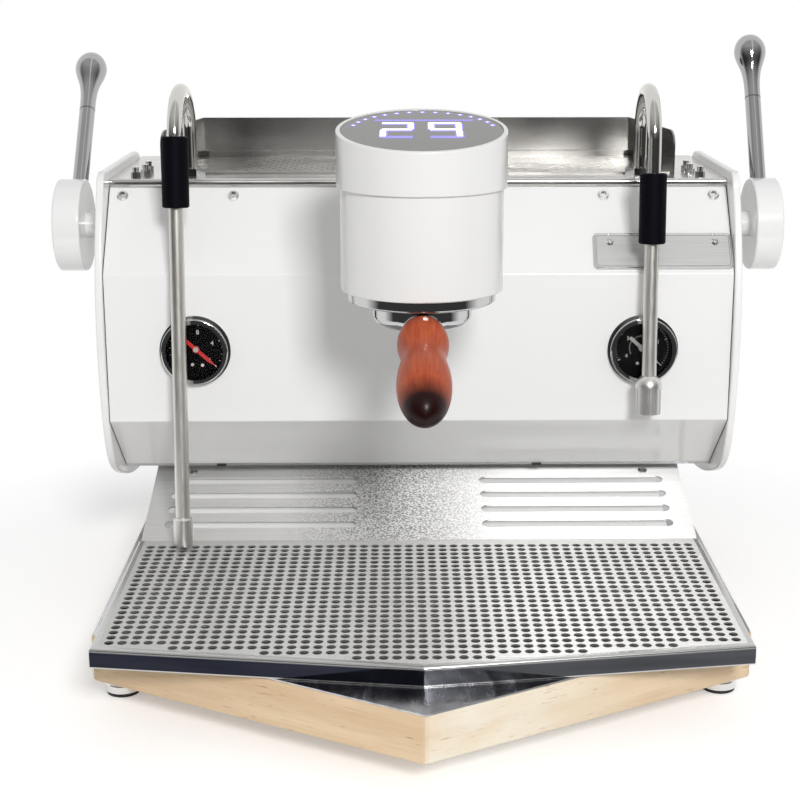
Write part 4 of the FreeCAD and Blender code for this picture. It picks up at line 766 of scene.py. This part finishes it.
def gauge_marks(side, name, numbers, size, steps, inner_ring):
    """Marks of one gauge: steps is the number of fine ticks from one number to the next."""
    plane = Plane((side * GAUGE_X, FOLD_Y - DIAL_FACE, GAUGE_Z), (1, 0, 0), (0, 0, 1))

    def turn(share):
        return math.radians(NEEDLE_ZERO + NEEDLE_SWEEP * share)

    gaps = len(numbers) - 1
    ticks = []
    for i in range(gaps * steps + 1):
        inner, width = FINE_TICK if i % steps else MAIN_TICK
        ticks.append(spoke(inner, TICK_OUTER, turn(i / (gaps * steps)), width))
    if inner_ring:
        for i in range(INNER_RING_STEPS + 1):
            ticks.append(spoke(*INNER_RING, turn(i / INNER_RING_STEPS), INNER_RING_WIDTH))
    add("gauge_ticks_" + name, *prisms(plane, ticks, MARK_LOW, MARK_HIGH), "dial_white",
        "silver_paint")
    words = []
    for i, number in enumerate(numbers):
        angle = turn(i / gaps)
        words.append((str(number), NUMBER_RADIUS * math.cos(angle),
                      NUMBER_RADIUS * math.sin(angle)))
    lettering("gauge_numbers_" + name, plane, words, size, NUMBER_DEPTH, "dial_white",
              "silver_paint")
    rivets = [disc(x, y, RIVET_RADIUS, 16) for x, y in RIVETS]
    add("gauge_rivets_" + name, *prisms(plane, rivets, MARK_LOW, RIVET_HIGH), "dial_white",
        "silver_paint")
    top = NEEDLE_TOP - DIAL_FACE
    cap = prisms(plane, [disc(0.0, 0.0, CAP_RADIUS, 28)], top - CAP_SUNK, top + CAP_HIGH)
    add("gauge_cap_" + name, *cap, "silver_paint", "silver_paint", "needle_" + name)


# Bare name plate: a raised polished border with a grey line inside it, the painted shade of a
# groove

BORDER_INSET = 0.2
BORDER = (4.0, 1.5)                     # corner radius, width
BORDER_RISE = (-0.3, 0.5)
LINE_INSET = 2.1
LINE = (2.6, 0.6)
LINE_RISE = (-0.1, 0.06)


def plate_frame(name, inset, shape, rise, look):
    plane = Plane((0, FOLD_Y, FOLD_HIGH), (1, 0, 0), (0, math.cos(FACET), math.sin(FACET)))
    low, high = (PLATE_THICKNESS + height for height in rise)
    border = framed(plane, PLATE_X[0] + inset, PLATE_X[1] - inset, PLATE_UP[0] + inset,
                    PLATE_UP[1] - inset, *shape, low, high)
    add(name, *border, look, "chrome")


# Lever collars, switch marks, panel stops and panel seams

COLLAR_RADII = (6.2, 6.6)
COLLAR_SPAN = (111.4, 112.4)
COLLAR_SIDES = 36
ROCKER_BAR = (0.0, -1.6, 0.0, 1.6, 0.6)
ROCKER_RING = (-1.7, 1.7, -1.7, 1.7, 1.7, 0.55)
ROCKER_RISE = (-0.1, 0.08)
STOP_PLACE = (0, 284.0, 40.0)
STOP_X = (-168.3, 101.0)
STOP_HALF = 4.2
STOP_UP = (-1.6, 0.6)
STOP_CORNER = 0.5
STOP_RISE = (-0.5, 0.5)
SEAM_X = 249.45
SEAM_WIDTH = 0.5
SEAM_DEPTH = 1.2


def lever_collars():
    """A dark seam round each lever, where its grip begins."""
    inner, outer = COLLAR_RADII
    low, high = COLLAR_SPAN
    for name, (x, degrees) in LEVERS.items():
        lean = math.radians(degrees)
        axis = Vector((0, math.sin(lean), math.cos(lean)))
        turn = Vector((0, 0, 1)).rotation_difference(axis)
        points = []
        for radius, height in ((inner, low), (outer, low), (outer, high), (inner, high)):
            for i in range(COLLAR_SIDES):
                angle = 2 * math.pi * i / COLLAR_SIDES
                offset = Vector((radius * math.cos(angle), radius * math.sin(angle), height))
                points.append(at(*(Vector((x, KNOB_Y, KNOB_Z)) + turn @ offset)))
        add(name + "_lever_seam", points, ring_faces(COLLAR_SIDES), "dark_chrome", "chrome",
            name + "_tap")


def rocker_marks():
    """The bar and the ring on the two halves of the rocker."""
    fall = math.atan2(ROCKER_DROP, ROCKER_HALF)
    for name, side in (("rocker_bar", 1), ("rocker_ring", -1)):
        lean = ROCKER_TILT - side * fall
        y = ROCKER_FACE + ROCKER_DROP / 2
        z = side * ROCKER_HALF / 2
        centre = SWITCH + Vector((0, y * math.cos(ROCKER_TILT) - z * math.sin(ROCKER_TILT),
                                  y * math.sin(ROCKER_TILT) + z * math.cos(ROCKER_TILT)))
        plane = Plane(centre, (-1, 0, 0), (0, -math.sin(lean), math.cos(lean)))
        if name == "rocker_bar":
            shape = prisms(plane, [bar(*ROCKER_BAR)], *ROCKER_RISE)
        else:
            shape = framed(plane, *ROCKER_RING, *ROCKER_RISE)
        add(name, *shape, "dial_white", "silver_paint", "rocker")


def panel_plugs():
    """Two small dark stops under the front panel's lower edge."""
    plane = Plane(STOP_PLACE, (1, 0, 0), (0, 0, 1))
    outlines = [rounded_loop(x - STOP_HALF, x + STOP_HALF, *STOP_UP, STOP_CORNER, 3)
                for x in STOP_X]
    add("panel_plugs", *prisms(plane, outlines, *STOP_RISE), "dark_plastic", "dark_plastic")


def panel_seams():
    """Dark strips in the open seams between the front panel's ends and the side panels: painted
    shade inside the gaps.
    """
    outlines = [bar(*start, *end, SEAM_DEPTH) for start, end in zip(PANEL_LINE, PANEL_LINE[1:])]
    for name, x in (("left", -SEAM_X - SEAM_WIDTH), ("right", SEAM_X)):
        plane = Plane((x, 0, 0), (0, 1, 0), (0, 0, 1))
        add("panel_seam_" + name, *prisms(plane, outlines, 0.0, SEAM_WIDTH), "dark_plastic",
            "dark_plastic")


display()
gauge_marks(-1, "left", (0, 4, 8, 12, 16), 5.2, 4, False)
gauge_marks(1, "right", (0, 1, 2, 3, 4), 4.8, 10, True)
plate_frame("plate_border", BORDER_INSET, BORDER, BORDER_RISE, "chrome")
plate_frame("plate_line", LINE_INSET, LINE, LINE_RISE, "groove_grey")
lever_collars()
rocker_marks()
panel_plugs()
panel_seams()


# Floor, world and lamp

TABLE_SIDE = 0.8
TABLE_FRONT = -0.6
TABLE_REAR = 0.9
TABLE_FADE = (0.44, 0.6)                # distance in m at which the table turns into white
TABLE_LIFT = 0.3
BACKDROP_Y = (-0.35, 0.1)               # glossy rays: white behind
ROOM_Z = (0.1, 0.75)                    # glossy rays: a dim room that is paler above
ROOM_LEVEL = (0.05, 0.6)
STRIP_X = (0.15, 0.07)                  # glossy rays: a window strip's middle and half width
STRIP_Z = (0.3, 0.45)
SOFT_Z = (-0.3, 0.6)                    # the even light on the object, a little less from above
SOFT_LEVEL = (0.6, 0.42)
KEY_PLACE = (0.37, -2.11, 1.32)
KEY_TARGET = (0.0, -0.1, 0.28)
KEY_SIZE = 0.42
KEY_WATTS = 35.0


def make_floor():
    """A white table that ends in front of the object, with the object's shadow on it."""
    mesh = bpy.data.meshes.new("floor")
    mesh.from_pydata([(-TABLE_SIDE, TABLE_FRONT, 0), (TABLE_SIDE, TABLE_FRONT, 0),
                      (TABLE_SIDE, TABLE_REAR, 0), (-TABLE_SIDE, TABLE_REAR, 0)], [],
                     [(0, 1, 2, 3)])
    floor = bpy.data.objects.new("floor", mesh)
    bpy.context.scene.collection.objects.link(floor)
    material = bpy.data.materials.new("floor")
    tree = Nodes(material)
    lit = tree.nodes["Principled BSDF"]
    lit.inputs["Base Color"].default_value = (0.92, 0.92, 0.91, 1.0)
    lit.inputs["Roughness"].default_value = 0.9
    pale = tree.new("BsdfDiffuse")
    pale.inputs["Color"].default_value = (1.0, 1.0, 1.0, 1.0)
    base = tree.new("Emission")
    base.inputs["Strength"].default_value = TABLE_LIFT
    near = tree.new("AddShader")
    tree.join(pale.outputs[0], near.inputs[0])
    tree.join(base.outputs[0], near.inputs[1])
    glow = tree.new("Emission")
    distance = tree.new("VectorMath", operation="LENGTH")
    tree.join(tree.where(), distance.inputs[0])
    far = tree.between(distance.outputs["Value"], *TABLE_FADE)
    path = tree.new("LightPath")
    seen = tree.math("MAXIMUM", path.outputs["Is Camera Ray"],
                     tree.math("MAXIMUM", path.outputs["Is Glossy Ray"],
                               path.outputs["Is Transmission Ray"]))

    def blend(factor, first, second):
        node = tree.new("MixShader")
        for socket, source in zip(node.inputs, (factor, first, second)):
            tree.join(source, socket)
        return node.outputs[0]

    table = blend(seen, lit.outputs[0], blend(far, near.outputs[0], glow.outputs[0]))
    tree.join(table, tree.nodes["Material Output"].inputs["Surface"])
    mesh.materials.append(material)


def make_world():
    """White to the eye, an even grey light on the object, and a soft studio in reflections."""
    world = bpy.data.worlds.new("studio")
    bpy.context.scene.world = world
    tree = Nodes(world)
    background = tree.nodes["Background"]
    split = tree.new("SeparateXYZ")
    tree.join(tree.new("TexCoord").outputs["Generated"], split.inputs[0])
    x, y, z = split.outputs
    backdrop = tree.between(y, *BACKDROP_Y)
    room = tree.between(z, *ROOM_Z, *ROOM_LEVEL)
    strip = tree.times(tree.math("COMPARE", x, *STRIP_X), tree.between(z, *STRIP_Z))
    studio = tree.math("MAXIMUM", backdrop, tree.math("MAXIMUM", room, strip))
    soft = tree.between(z, *SOFT_Z, *SOFT_LEVEL)
    path = tree.new("LightPath")
    glossy = path.outputs["Is Glossy Ray"]
    level = tree.math("ADD", tree.times(glossy, studio),
                      tree.times(tree.math("SUBTRACT", 1.0, glossy), soft))
    seen = tree.math("MAXIMUM", path.outputs["Is Camera Ray"],
                     path.outputs["Is Transmission Ray"])
    tree.join(tree.math("MAXIMUM", level, seen), background.inputs["Strength"])
    background.inputs["Color"].default_value = (1.0, 1.0, 1.0, 1.0)


def make_lamp():
    """One broad lamp in front of the object and above it."""
    data = bpy.data.lights.new("key", "AREA")
    data.shape = "RECTANGLE"
    data.size = data.size_y = KEY_SIZE
    data.energy = KEY_WATTS
    lamp = bpy.data.objects.new("key", data)
    lamp.location = KEY_PLACE
    aim = Vector(KEY_TARGET) - Vector(KEY_PLACE)
    lamp.rotation_mode = "QUATERNION"
    lamp.rotation_quaternion = aim.to_track_quat("-Z", "Y")
    bpy.context.scene.collection.objects.link(lamp)


make_floor()
make_world()
make_lamp()
